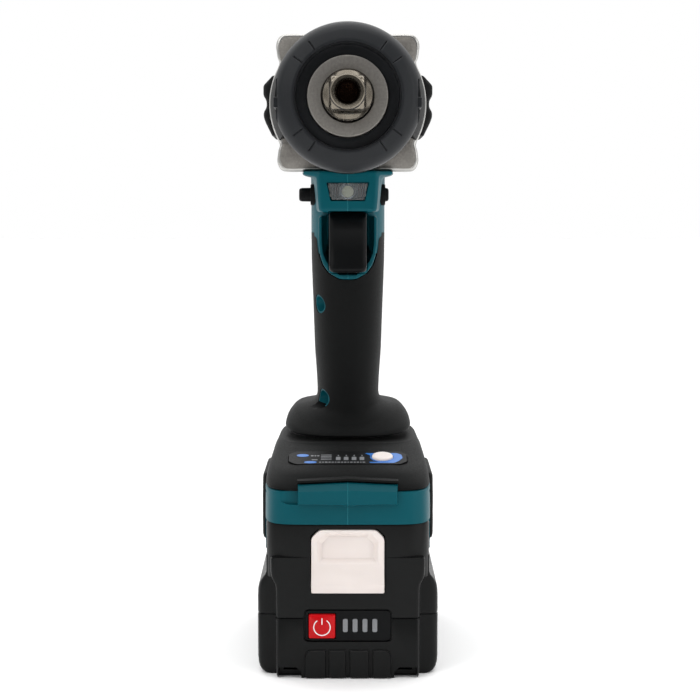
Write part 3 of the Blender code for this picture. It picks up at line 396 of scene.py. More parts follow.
def make_finishes(tones):
    # PA6 with glass fibre, injection moulded against a spark-eroded tool: even satin, faint 0.5 mm pitting
    # the teal's parting line carries a painted highlight
    parting_line_painted_highlight(*finish("teal", "Moulded_nylon_teal", {"IOR": 1.53, "Specular IOR Level": 0.1},
                         (tones.teal_low, tones.teal_high), 60, (0.5, 0.02, 0.42, 0.05)))
    # the same nylon in black, a little duller
    finish("black", "Moulded_nylon_black", {"IOR": 1.53, "Specular IOR Level": 0.09},
           ("#090a0b", "#0f1011"), 45, (0.6, 0.025, 0.44, 0.06))
    # the pack's case: black nylon with a coarser sparkling texture, drawn at 0.8 mm so that it shows
    finish("pack", "Pack_case_nylon", {"IOR": 1.53, "Specular IOR Level": 0.13},
           ("#0b0c0c", "#111212"), 50, (0.8, 0.035, 0.36, 0.07, 0.7))
    # thermoplastic rubber overmould: dull, slightly dusty, soft falloff at grazing angles
    finish("grip", "Soft_rubber_overmould", {"IOR": 1.5, "Sheen Weight": 0.008, "Sheen Roughness": 0.5,
                                             "Specular IOR Level": 0.08},
           ("#0b0c0c", "#121313"), 35, (0.7, 0.04, 0.58, 0.06, 0.7))
    # moulded nitrile nose guard: grey-black, tighter skin, broad soft highlight
    finish("guard", "Moulded_nitrile_guard", {"IOR": 1.52, "Sheen Weight": 0.03, "Sheen Roughness": 0.4,
                                              "Specular IOR Level": 0.2},
           (tones.guard_low, tones.guard_high), 30, (0.5, 0.015, 0.48, 0.05))
    # high-pressure die-cast aluminium, shot-blasted: matt grey with a sandy grain
    finish("cast", "Blasted_cast_aluminium", {"Metallic": 1.0}, ("#6f6c68", "#8d8a85"), 1.1,
           (0.7, 0.06, 0.55, 0.08, 0.9, 3.0))
    # the same casting where a tool has cut it: bright, with slight swells
    finish("bright", "Machined_aluminium", {"Metallic": 1.0}, ("#a9a8a5", "#bcbbb8"), 8, (1.2, 0.01, 0.34, 0.05))
    # hardened, ground and lightly tempered steel: warm grey-brown sheen, with painted shade in the bit socket
    tree, bsdf, coords, colour, _ = finish("drive", "Tempered_ground_steel", {"Metallic": 1.0},
                                           ("#6c655b", "#878074"), 6, (0.35, 0.008, 0.27, 0.06))
    socket_painted_shade(tree, bsdf, coords, colour)
    # ground bearing and spring steel: clean light grey with a fine grind
    finish("steel", "Ground_steel", {"Metallic": 1.0}, ("#8e8a84", "#a8a49c"), 6, (0.35, 0.008, 0.27, 0.06))
    # black-oxide steel: oily dark metal
    finish("oxide", "Black_oxide_steel", {"Metallic": 1.0}, ("#2a2a2c", "#3a393a"), 5, (0.4, 0.01, 0.38, 0.06))
    # acetal in off-white: waxy, faint subsurface glow
    finish("white", "Acetal_white", {"IOR": 1.48, "Subsurface Weight": 0.12, "Subsurface Scale": 0.0008,
                                     "Subsurface Radius": (1.0, 0.85, 0.7)},
           (tones.button_low, tones.button_high), 18, (0.7, 0.012, 0.38, 0.05))
    # ABS in signal red: smooth, with a soft gloss
    finish("red", "Glossy_ABS_red", {"IOR": 1.54, "Specular IOR Level": 0.14}, ("#b8080f", "#c81018"), 8,
           (0.6, 0.006, 0.3, 0.04))
    # screen-printed inks on polyester film: flat colour, slight gloss
    for key, inks in (("ink_blue", ("#0f5fb4", "#1a74c8")), ("ink_white", ("#e6e8ea", "#f2f3f4")),
                      ("ink_grey", ("#6f7174", "#85878a"))):
        finish(key, "Screen_" + key, {"IOR": 1.5}, inks, 3, (0.4, 0.003, 0.36, 0.03))
    # clear polycarbonate: glassy with slight flow lines
    finish("clear", "Clear_polycarbonate", {"IOR": 1.58, "Transmission Weight": 0.92,
                                            "Base Color": linear("#e8eef0")}, None, 0, (2.5, 0.01, 0.09, 0.03))
    # vacuum-metallised reflector tray behind the lens: soft mirror
    finish("mirror", "Metallised_reflector", {"Metallic": 1.0}, ("#7d8287", "#9aa0a4"), 4, (0.9, 0.02, 0.2, 0.05))
    # phosphor of a white light-emitting diode, unlit: chalky yellow-white
    finish("phosphor", "Diode_phosphor", {"IOR": 1.5}, ("#c9bf9a", "#e2dcc4"), 1.2, (0.3, 0.01, 0.45, 0.05))
    # contacts, solder mask, shrink sleeve and holder: seen only when the pack is off or through vents
    for key, name, pair, metal, rough in (
            ("brass", "Drawn_brass", ("#b08d4a", "#c4a25c"), 1.0, 0.3),
            ("board", "Solder_mask_green", ("#0d3a22", "#12502e"), 0.0, 0.35),
            ("sleeve", "Heat_shrink_blue", ("#28506a", "#32627f"), 0.0, 0.3),
            ("holder", "Holder_ABS_grey", ("#2c2d2f", "#37383a"), 0.0, 0.5)):
        finish(key, name, {"Metallic": metal}, pair, 5, (0.5, 0.01, rough, 0.05))


CARRIED = {
    "steel": ("hammer", "spindle", "cam_ball_1", "cam_ball_2", "rotor_bearing_front", "rotor_bearing_rear",
              "spindle_bearing", "trigger_spring", "release_spring"),
    # nose_bush is dressed in black oxide as painted shade for the dark gap round the anvil
    "oxide": ("hammer_spring", "planet_gear_1", "planet_gear_2", "ring_gear", "pinion", "rotor", "stator",
              "case_screw_1", "case_screw_2", "case_screw_3", "case_screw_4", "grip_screw_1", "grip_screw_2",
              "nose_bush"),
    "cast": ("bearing_box", "controller"),
    "black": ("fan", "switch_unit", "terminal_block"),
    "brass": ("battery_terminals",),
    "board": ("sensor_board", "led_board", "bms_board"),
    "sleeve": ("cells_lower", "cells_upper"),
    "holder": ("cell_holder",),
}


def finish_carried():
    """Dresses the CAD parts that stay in view."""
    for key, nodes in CARRIED.items():
        for name in nodes:
            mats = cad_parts[name].data.materials
            if not mats:
                mats.append(FINISH[key])
            for k in range(len(mats)):
                mats[k] = FINISH[key]


# ------------------------------------------------------------------ nose and hammer case
def build_anvil(size):
    sq, bit = size.drive / MM / 2, size.bit / MM
    rows = [(5.0, 2, TIP_Y), (6.0, 2, TIP_Y + 0.15), (6.45, 2, TIP_Y + 0.65), (6.5, 2, TIP_Y + 1.2),
            (6.5, 2, -99.75), (6.3, 2, -99.45), (5.35, 2, -99.35), (5.35, 2, -97.1), (5.9, 2.6, -96.95),
            (sq - 0.15, 5, -96.3), (sq, 9, -95.4), (sq, 13, -94.4), (sq, 13, -87.4), (sq + 0.25, 7, -86.0),
            (7.7, 3.2, -84.6), (9.1, 2.2, -83.6), (9.5, 2, -83.1), (9.6, 2, -82.6), (9.6, 2, -61.8),
            (12.4, 2, -58.6), (12.4, 2, -51.6)]
    obj = solid("anvil_turned", loft([head_ring(y, r, r, n, 120) for r, n, y in rows]), FINISH["drive"], 30)
    hexagon = [(bit / math.sqrt(3) * math.cos(math.radians(30 + 60 * k)),
                HEAD_Z + bit / math.sqrt(3) * math.sin(math.radians(30 + 60 * k))) for k in range(6)]
    carve(obj, block(-21.6, 21.6, -58.4, -51.9, HEAD_Z - 5.5, HEAD_Z + 5.5), how="UNION", angle=30)
    carve(obj, turned([(5.15, TIP_Y - 0.6), (4.75, TIP_Y + 0.35), (4.45, TIP_Y + 0.8), (4.4, TIP_Y + 2.6),
                       (3.5, TIP_Y + 3.6)], 64, closed=False),
          prism(fillet(hexagon, 0.5, 3), "XZ", TIP_Y + 1, TIP_Y + 15),
          turned([(4.3, -59.2), (4.3, -50)], 40, closed=False), angle=30)
    piece(obj, "anvil", "steel", "anvil")
    ring = solid("anvil_ring", turned(fillet([(5.6, -99.1), (6.75, -99.1), (6.75, -97.35), (5.6, -97.35)], 0.4), 96),
                 FINISH["oxide"])
    carve(ring, block(-0.8, 0.8, -100, -96, HEAD_Z - 9, HEAD_Z - 3))
    piece(ring, "anvil", "dark_steel", "friction_ring")


def flange_outline(grow=0.0):
    """Front outline of the flange: round sides, flat top and bottom, squarish ears."""
    turns = [math.radians(-27 + 54 * k / 24) for k in range(25)]
    low = [(5, -27.6), (14, -27.6), (24.0, -27.7), (27.6, -27.5), (29.4, -24.0), (28.7, -18.6), (28.0, -16.9)]
    right = [(32.4 * math.cos(t), 32.4 * math.sin(t)) for t in turns]
    top = [(28.0, 16.9), (28.9, 18.6), (29.7, 24.6), (27.8, 28.3), (24.0, 28.6), (14, 28.6), (5, 28.6)]
    soft = [0, 0, 0, 3, 3, 2, 0.8] + [0] * 25 + [0.8, 2, 3, 3, 0, 0, 0]
    out = []
    for u, v in fillet(both_sides(low + right + top), soft + soft[::-1], 5):
        k = (math.hypot(u, v) + grow) / math.hypot(u, v)
        out.append((u * k, HEAD_Z + v * k))
    return out


def flange_ring(y, grow=0.0, radius=None):
    """The flange outline at y; with a radius, a round ring with the same number of points."""
    if radius is None:
        return [(u, y, v) for u, v in flange_outline(grow)]
    turns = [math.atan2(v - HEAD_Z, u) for u, v in flange_outline()]
    return [(radius * math.cos(t), y, HEAD_Z + radius * math.sin(t)) for t in turns]


def build_case(size):
    profile = fillet([(10.2, NOSE_Y), (15.6, NOSE_Y), (15.6, -71.4), (17.5, -70), (26.0, -58), (26.0, -55.2),
                      (28.4, -53.4), (28.4, -23.4), (25.6, -23.4), (25.6, -52.2), (22.6, -52.3), (22.6, -59.5),
                      (12.7, -59.7), (12.7, -75.4), (10.2, -75.4)],
                     [0.3, 0.6, 0.5, 0.8, 1.0, 0.5, 1.2] + [0] * 8, 4)
    make("case_body", turned(profile, 128), "cast", "tool", "cast_aluminium", "hammer_case", angle=32)
    # the flange with its four ears: bright cut rim, blasted face
    rim = [flange_ring(y, grow) for y, grow in ((-29.6, 0.0), (-30.35, -0.18), (-30.8, -0.65), (-30.95, -1.25))]
    rim += [flange_ring(y, radius=27.0) for y in (-30.7, -23.0)] + [flange_ring(-23.0, -0.4), flange_ring(-23.4)]
    make("case_rim", loft(rim, closed=True), "bright", "tool", "cast_aluminium", angle=50)
    face = [flange_ring(-30.9, -1.6), flange_ring(-31.0, -1.75)]
    face += [flange_ring(y, radius=28.3) for y in (-31.0, -30.6)]
    make("case_ear_faces", loft(face, closed=True), "cast", "tool", "cast_aluminium", angle=50)


def build_bumper(size):
    r = size.guard / MM / 2
    profile = fillet([(20.35, -77.3), (20.75, -77.95), (21.5, -78.05), (26.1, -76.25), (28.0, -73.9), (r, -71.3),
                      (r, -57.3), (28.1, -56.4), (26.4, -56.4), (26.4, -58.3), (20.2, -67.1), (17.7, -70.5),
                      (15.85, -71.75), (15.85, -72.3), (17.2, -72.5), (20.0, -72.3)],
                     [0.2, 0.25, 0.8, 1.6, 1.8, 1.6, 0.8, 0.4, 0.2, 0, 0, 0, 0, 0.2, 0.6, 0.8], 5)
    obj = solid("guard_ring", turned(profile, 192), FINISH["guard"], 40)
    # flats on both sides
    flats = [gather(*[side_block(s, x, 33, y0, y1, HEAD_Z - 10.2, HEAD_Z + 6.9) for s in (1, -1)])
             for x, y0, y1 in ((27.0, -80, -70.2), (27.75, -70.3, -54))]
    carve(obj, *flats, angle=40)
    ease(obj, 0.25, 2, 50)
    settle(obj, 40)
    # eight fine slits that follow the slope of the face
    slits = []
    for k in range(4):
        for lean in (-9.2, 9.2):
            t = math.radians(45 + 90 * k + lean)
            out, across = Vector((math.cos(t), math.sin(t))), Vector((-math.sin(t), math.cos(t)))
            ring = [out * q + across * w for q, w in ((21.2, -0.22), (25.6, -0.22), (25.6, 0.22), (21.2, 0.22))]
            slits.append(loft([[(p.x, -79, HEAD_Z + p.y) for p in ring],
                               [(p.x, -77.35 + 0.42 * (p.length - 21.2), HEAD_Z + p.y) for p in ring]]))
    carve(obj, gather(*slits), angle=40)
    piece(obj, "tool", "rubber", "front_bumper")
    # skirt of the guard on both sides of the case, reaching to the bright rim of the flange
    line = fillet([(27.6, -56.5), (28.9, -56.5), (31.5, -37.0), (31.9, -31.1), (28.3, -31.1), (27.6, -40)],
                  [0.3, 1.5, 2, 0.3, 0, 0], 3)
    for name, middle, way in (("guard_skirt_right", 0.0, 1), ("guard_skirt_left", math.pi, -1)):
        turns = [middle + way * math.radians(-28 + 54 * j / 20) for j in range(21)]
        rings = [[(q * math.cos(t), y, HEAD_Z + q * math.sin(t)) for q, y in line] for t in turns]
        make(name, loft(rings), "grip", "tool", "rubber", angle=40, soft=(0.3, 2, 50))
    hooks = [side_block(s, 26.6, 28.6, -74.6, -60, HEAD_Z - 4.2, HEAD_Z - 0.2) for s in (1, -1)]
    make("guard_clips", gather(*hooks), "guard", "tool", "rubber", soft=(0.4,))


# ------------------------------------------------------------------ motor housing, neck and lamp
NECK = [(229, -22, 34, 16.5), (206, -25, 33.4, 16.1), (190, -22.5, 28, 15.9), (181.6, -21, 26.5, 15.9),
        (172, -19.6, 27.0, 15.6)]
EARS = ((24.0, 23.0), (-24.0, 23.0), (-24.0, -22.0), (24.0, -22.0))
GUARD_LINE = [(12.2, 184.0), (12.2, 177.4), (12.1, 174.8), (11.6, 171.2), (10.3, 167.4), (7.8, 164.0),
              (3.4, 161.5)]


def u_shape(half, grow, lift=0.0):
    """Closed outline of the trigger guard, widened by grow."""
    return both_sides([(x + grow if x > 4 else x,
                        z - (grow if z < 170 else grow * 0.4) + (lift if z > 180 else 0)) for x, z in half])


def slots(x0, x1, y0, y1):
    """Three vent slots on each side of the motor."""
    return gather(*[side_block(s, x0, x1, y0, y1, HEAD_Z + dz, HEAD_Z + dz + 2.4)
                    for s in (1, -1) for dz in (-6.2, -1.2, 3.8)])


def build_housing(size):
    barrel = glide([(-22.7, 30.4, 30.1, 2.1), (-22.2, 30.6, 30.3, 2.1), (-10, 31.0, 30.6, 2.15),
                    (-2, 31.4, 31.0, 2.3), (10, 31.6, 31.2, 2.4), (35, 31.2, 31.0, 2.3), (50.9, 30.2, 30.0, 2.3),
                    (51.7, 29.7, 29.5, 2.3)], 5)
    parts = [loft([head_ring(*row) for row in barrel]), loft([plan_ring(*row) for row in glide(NECK, 8)])]
    for x, z in EARS:
        parts.append(loft([[(u, y, v) for u, v in oval(x * k, HEAD_Z + z * k, r, r, 40)] for y, r, k in (
            (-22.7, 4.8, 1.0), (-22.2, 5.0, 1.0), (-8.4, 4.9, 0.99), (-6.5, 3.6, 0.97))]))
    # lamp nose: wider lip on top, waist below, sharp underside
    lamp = []
    for z, front, nose_x, mid_x, back_x in ((206.5, -41.0, 11.0, 17.9, 18.6), (206.0, -41.9, 11.4, 18.3, 18.8),
                                            (204.9, -42.0, 11.5, 18.2, 18.7), (203.9, -42.0, 11.5, 14.0, 14.6),
                                            (200.5, -42.0, 11.4, 13.3, 13.9), (194.0, -42.0, 11.0, 12.6, 13.3),
                                            (190.6, -42.0, 10.7, 12.2, 13.0), (189.7, -41.4, 10.2, 11.6, 12.4)):
        half = [(nose_x, front), (nose_x + 1.2, front + 1.4), (mid_x, -35.0), (back_x, -30.0), (back_x, -18.0)]
        lamp.append([(x, y, z) for x, y in both_sides(half)])
    parts.append(loft(lamp))
    parts.append(prism(fillet(u_shape(GUARD_LINE, 0.0, 4.0), 1.2, 3), "XZ", -24.6, -12.0))
    obj = moulded("motor_housing", parts, size.cell / MM, 3, FINISH["teal"])
    # hollow round the motor, hammer case and flange; trigger throat; vents; screw wells; lamp window; lever bore
    throat = loft([[(x, y, min(z + rise, 190.3)) for x, z in u_shape(GUARD_LINE, grow, 7.0)]
                   for y, grow, rise in ((-26.0, -0.9, 0.2), (-23.9, -1.3, 0.6), (-21.0, -3.5, 0.6))])
    wells = [rod("Y", (x, HEAD_Z + z), 3.4, -12.2, 9, 32) for x, z in EARS]
    handle = loft([plan_ring(*row, 2.4, 64) for row in (
        (212, -21.5, 30, 13.8), (190, -19.9, 25.5, 13.6), (181.5, -16.8, 22.3, 11.7), (160, -15, 24, 11.4))])
    carve(obj, turned([(28.7, -25), (28.7, 55)], 96, closed=False))
    carve(obj, turned([(28.9, -60), (28.9, -22.9)], 96, closed=False, phase=0.01),
          prism(flange_outline(0.35), "XZ", -31.4, -22.9), handle, slots(22, 36, 40.5, 49.5), gather(*wells))
    carve(obj, throat, block(-8.15, 8.15, -44, -10, 163.9, 190.1),
          prism(fillet([(-8.75, 201.75), (8.75, 201.75), (7.05, 194.15), (-7.05, 194.15)], 0.5, 3), "XZ", -45, -40.2),
          rod("X", LEVER, 3.55, -30, 30, 48))
    piece(obj, "tool", "teal_nylon", "housing_left", "housing_right")
    cover = fillet([(29.9, 52.0), (29.2, 58.0), (27.2, 63.2), (22.5, 66.8), (15.0, 68.0), (0.4, 68.0), (0.4, 65.2),
                    (16.0, 64.8), (22.5, 63.2), (26.4, 58.5), (27.4, 52.0)], [0.5, 3, 3, 3, 2, 0, 0, 1, 1, 1, 0.3], 5)
    rear = solid("rear_cover_shell", turned(cover, 128), FINISH["black"], 32)
    grooves = [turned([(r0, y), (r1, y), (r1, 69), (r0, 69)], 96)
               for r0, r1, y in ((20.6, 21.6, 66.2), (11.5, 12.2, 67.4))]
    carve(rear, slots(15, 40, 54.8, 58.8), *grooves, angle=32)
    piece(rear, "tool", "black_nylon", "rear_cover")


def build_side_ribs(size):
    outer = fillet([(13.8, 32.6), (9.8, 36.4), (5.6, 36.4), (3.2, 35.0), (0.6, 35.0), (-1.6, 36.3), (-3.6, 36.3),
                    (-6.2, 35.4), (-11.8, 32.6)], 0.9, 3, closed=False)
    inner = []                                          # the housing's own surface under the ribs
    for z, _ in outer:
        reach = squircle(math.asin(z / 33.0), 31.6, 31.2, 2.5) + 0.15
        inner.append((math.sqrt(reach * reach - z * z), z))
    for name, side, node in (("side_rib_right", 1, "side_bumper_right"), ("side_rib_left", -1, "side_bumper_left")):
        rings = []
        for y, k in ((-6.0, 0.15), (-5.2, 0.6), (-3.6, 0.9), (-1.0, 1.0), (29, 1.0), (33, 0.93), (36.2, 0.72),
                     (37.6, 0.4), (38.0, 0.15)):
            rings.append([(side * (b[0] + (x - b[0]) * k), y, HEAD_Z + z) for (z, x), b in zip(outer, inner)]
                         + [(side * (x - 0.5), y, HEAD_Z + z) for x, z in reversed(inner)])
        make(name, loft(rings), "grip", "tool", "rubber", node, angle=34, soft=(0.3, 2, 34))


def build_lamp(size):
    tray = [(-8.3, 201.3), (8.3, 201.3), (6.6, 194.6), (-6.6, 194.6)]
    back = [(-8.6, 201.6), (8.6, 201.6), (6.9, 194.3), (-6.9, 194.3)]
    fins = [block(x - 0.16, x + 0.16, -40.7, -40.1, 195.0 + abs(x) * 0.15, 201.0)
            for x in (-7.2, -6.4, -5.5, -4.5, 4.5, 5.5, 6.4, 7.2)]
    dome = fillet([(0.05, -40.62), (2.3, -40.55), (2.45, -40.1), (0.05, -40.1)], [0, 0.2, 0, 0], 3)
    bezel = fillet([(2.5, -40.65), (3.0, -40.6), (3.0, -40.1), (2.5, -40.1)], 0.1, 2)
    make("lamp_lens", prism(fillet(tray, 0.5, 3), "XZ", -41.9, -40.7, 0.3), "clear", "tool", "clear_lens", "led_lens",
         angle=30)
    make("lamp_reflector", prism(back, "XZ", -40.2, -39.6), "mirror", "tool", "clear_lens")
    make("lamp_facets", gather(*fins), "bright", "tool", "clear_lens")
    make("lamp_diode", turned(dome, 48, 0.0, DIODE_Z), "phosphor", "tool", "clear_lens")
    make("lamp_diode_ring", turned(bezel, 48, 0.0, DIODE_Z), "mirror", "tool", "clear_lens")


# ------------------------------------------------------------------ handle
GRIP = [(180.9, 180.9, -21, 26.5, 15.9, 2.4), (172, 172, -19.7, 27.1, 15.85, 2.4), (165, 165, -18.5, 28, 15.7, 2.4),
        (150, 150, -16, 30.5, 15.2, 2.4), (130, 130, -12, 33.5, 14.6, 2.4), (116, 116, -9.2, 35.9, 13.75, 2.4),
        (108.5, 110.5, -8.3, 37.2, 13.6, 2.4), (103.5, 107.6, -8.6, 38.2, 14.2, 2.4),
        (100.6, 106.4, -9.8, 39.2, 15.8, 2.5), (98.4, 105.5, -11.6, 40.8, 18.8, 2.7),
        (96.9, 104.7, -14.2, 42.4, 22.4, 3.0), (95.7, 102.2, -16.4, 43.8, 25.2, 3.0),
        (94.7, 98.6, -17.7, 44.8, 27.2, 3.1), (94.1, 96.4, -18.0, 45.0, 27.7, 3.1),
        (93.6, 95.2, -17.7, 44.8, 27.4, 3.1), (93.5, 95.0, -14.6, 42.0, 24.4, 3.1)]


def climbing_ring(low, high, front, back, half, n, count=144):
    """A plan ring that climbs from its front edge to a level part further back."""
    out = []
    for x, y, _ in plan_ring(low, front, back, half, n, count):
        t = min(1.0, max(0.0, (y - front) / (12.0 - front)))
        out.append((x, y, low + (high - low) * t * (2 - t)))
    return out


WELLS = ((-8.2, 150.2, 4.1), (-1.0, 108.2, 4.4))
GRIP_CUT = [(17.5, 190.0), (16.6, 181.8), (15.4, 180.2), (13.2, 178.5), (12.95, 175.2), (12.4, 171.1),
            (11.05, 167.1), (8.3, 163.5), (3.6, 160.95)]


def build_grip(size):
    obj = solid("grip_rubber", loft([climbing_ring(*row) for row in glide(GRIP, 5)]), FINISH["grip"], 40)
    core = loft([plan_ring(*row, 2.4, 72) for row in glide(
        [(184, -18.6, 24.1, 13.6), (165, -16.6, 26.1, 13.8), (150, -14.1, 28.6, 13.3), (130, -10.1, 31.6, 12.7),
         (112, -6.6, 34.6, 11.7), (98, -5.0, 36.8, 11.9), (86, -5, 37, 11.9)], 3)])
    front = prism(fillet(both_sides(GRIP_CUT), 0.7, 3), "XZ", -40, -9.5)
    wells = gather(*[rod("X", (y, z), r, -20, -4.6, 48) for y, z, r in WELLS])
    carve(obj, core, front, wells, angle=40)
    # rolled lip along the cut edges
    ease(obj, 0.45, 3, 40)
    piece(obj, "tool", "rubber", "grip_left", "grip_right")
    # teal cups round the two screws that show, cut flush with the rubber
    within = loft([climbing_ring(lo, hi, f + 0.25, b - 0.25, w - 0.25, n, 96)
                   for lo, hi, f, b, w, n in glide(GRIP[:8], 5)])
    for k, (y, z, r) in enumerate(WELLS, 1):
        cup = solid("screw_well_" + str(k), rod("X", (y, z), r - 0.12, -20, -5.0, 48), FINISH["teal"])
        carve(cup, within, how="INTERSECT")
        carve(cup, rod("X", (y, z), r - 0.75, -20, -8.6, 48))
        ease(cup, 0.15, 2, 50)
        piece(cup, "tool", "teal_nylon")


# ------------------------------------------------------------------ foot
FOOT_TOP = [(77.6, -58.2, 56.3, 34.0, 6.8), (78.2, -58.6, 56.5, 34.3, 6.8), (79.6, -57.8, 56.2, 34.15, 6.6),
            (81.2, -55.9, 55.8, 33.9, 6.4), (82.5, -53.9, 55.2, 33.6, 6.2), (83.3, -52.6, 54.9, 33.35, 6),
            (84.1, -50.8, 54.4, 33.1, 5.9), (85.0, -48.0, 53.8, 32.8, 5.7), (86.4, -42.4, 52.9, 32.1, 5.3),
            (88.2, -34.8, 51.6, 31.3, 5), (90.0, -27.2, 50.2, 30.5, 4.8), (90.7, -24.6, 49.4, 30.0, 4.6),
            (91.3, -23.2, 48.6, 29.3, 4.4), (91.7, -22.6, 47.8, 28.7, 4.3), (91.9, -19.0, 45, 26.5, 4.2)]
TILT = math.atan2(4.2, 18.0)
PANEL = (49.0, 16.4)


def panel_point(u, v, h):
    """A point of the sloping panel: across, towards the front, and above its face."""
    return (u, -27.6 - v * math.cos(TILT) - h * math.sin(TILT), 89.85 - v * math.sin(TILT) + h * math.cos(TILT))


def on_panel(outline, low, high):
    """An outline extruded between two heights over the panel."""
    return loft([[panel_point(u, v, h) for u, v in outline] for h in (low, high)])


def panel_outline(grow, near):
    """Eight-cornered outline of the panel's film or recess."""
    w, d, e = PANEL[0] / 2 + grow, PANEL[1] + grow, 3.0
    return [(-w, e + near), (-w + e, near), (w - e, near), (w, e + near),
            (w, d - e), (w - e, d), (-w + e, d), (-w, d - e)]


def build_foot(size):
    rows = glide([(50.3, -58.2, 56.3, 33.9, 7.5), (50.9, -59, 57, 34.4, 7.5), (64.2, -59, 57, 34.4, 7.5),
                  (75.0, -58.9, 56.9, 34.4, 7), (76.8, -58.9, 56.8, 34.35, 7), (77.3, -58.6, 56.5, 34.1, 6.8),
                  (77.5, -58.0, 56.0, 33.6, 6.6)], 4)
    obj = solid("foot_shell", loft([plan_ring(*row, 160) for row in rows]), FINISH["teal"], 34)
    # block on the front face, its middle bowed forward and its end tapered
    face = [(-20.1, 72.2), (0, 71.6), (20.1, 72.2), (20.1, 80.2), (0, 81.2), (-20.1, 80.2)]
    tip = [(u * 0.985, -61.0 - (0.165 if u == 0 else 0.0), 72.7 + (v - 72.2) * 0.62) for u, v in face]
    carve(obj, loft([[(u, y, v) for u, v in face] for y in (-54.6, -58.6)] + [tip]), how="UNION", angle=34)
    # rounded pocket beside the block; rail channel, inner hollow and notches
    turns = [math.pi * k / 24 for k in range(25)]
    scallop = [(-20.3 - 8.8 * math.sin(t) ** 0.8, 75.9 + 3.9 * math.cos(t)) for t in turns]
    notch = [prism([(s * 33.0, 75.0), (s * 36.0, 77.2), (s * 36.0, 72.4)], "XZ", -59, -40) for s in (1, -1)]
    carve(obj, block(-50, 50, -70, -41.2, 30, 64.0), block(-31.2, 31.2, -45, 51, 53.0, 62.0),
          block(-28.2, 28.2, -46, 51.1, 40, 53.5), prism(scallop, "XZ", -64, -57.2), gather(*notch),
          loft([plan_ring(*row, 5, 48) for row in ((88.6, -15, 41, 23.5), (80.5, -41, 50, 30.6), (77.5, -51, 52, 31.0),
                                                   (66.0, -54.4, 54, 31.4))]), angle=34)
    ease(obj, 0.35, 2, 34)
    piece(obj, "tool", "teal_nylon")
    top = solid("foot_cover", loft([plan_ring(*row, 160) for row in glide(FOOT_TOP, 4)]), FINISH["grip"], 34)
    carve(top, on_panel(fillet(panel_outline(0.35, 2.3), 1.0, 3), -1.9, 6),
          on_panel(oval(*MODE_KEY, 4.7, 4.7, 48), -3.4, -1.0),
          loft([plan_ring(*row, 4.5, 64) for row in ((88.0, -14, 40, 22.5), (79.0, -51, 52, 31.0))]),
          prism([(-20.25, 70), (20.25, 70), (20.25, 80.3), (0, 81.3), (-20.25, 80.3)], "XZ", -64, -54.2), angle=34)
    ease(top, 0.35, 2, 34)
    piece(top, "tool", "rubber")
    brow = [(-20.4, 81.0), (0, 81.95), (20.4, 81.0), (20.4, 81.9), (0, 82.8), (-20.4, 81.9)]
    make("foot_brow", prism(brow, "XZ", -59.4, -53.5, 0.2), "grip", "tool", "rubber", angle=34)
    y0, y1, z0, z1 = -24, 26, 50.5, 78.6
    outline = fillet([(y0, z0 + 1.5), (y0 + 2, z0), (y1 - 2, z0), (y1, z0 + 1.5), (y1, z1 - 9), (y1 - 3, z1),
                      (y0 + 3, z1), (y0, z1 - 9)], 3.0, 4)
    for name, side in (("side_pad_right", 1), ("side_pad_left", -1)):
        pad = solid(name + "_face", loft([[(side * x, 1 + (y - 1) * k, 64.5 + (z - 64.5) * k) for y, z in outline]
                                          for x, k in ((33.9, 1.0), (35.3, 1.0), (36.0, 0.97), (36.4, 0.9))]),
                    FINISH["grip"], 40)
        grooves = [side_block(side, 35.9, 39, -18, 20, z, z + 1.2) for z in (57.5, 61.5, 65.5, 69.5)]
        carve(pad, gather(*grooves), angle=40)
        ease(pad, 0.3, 2, 40)
        piece(pad, "tool", "rubber", name)


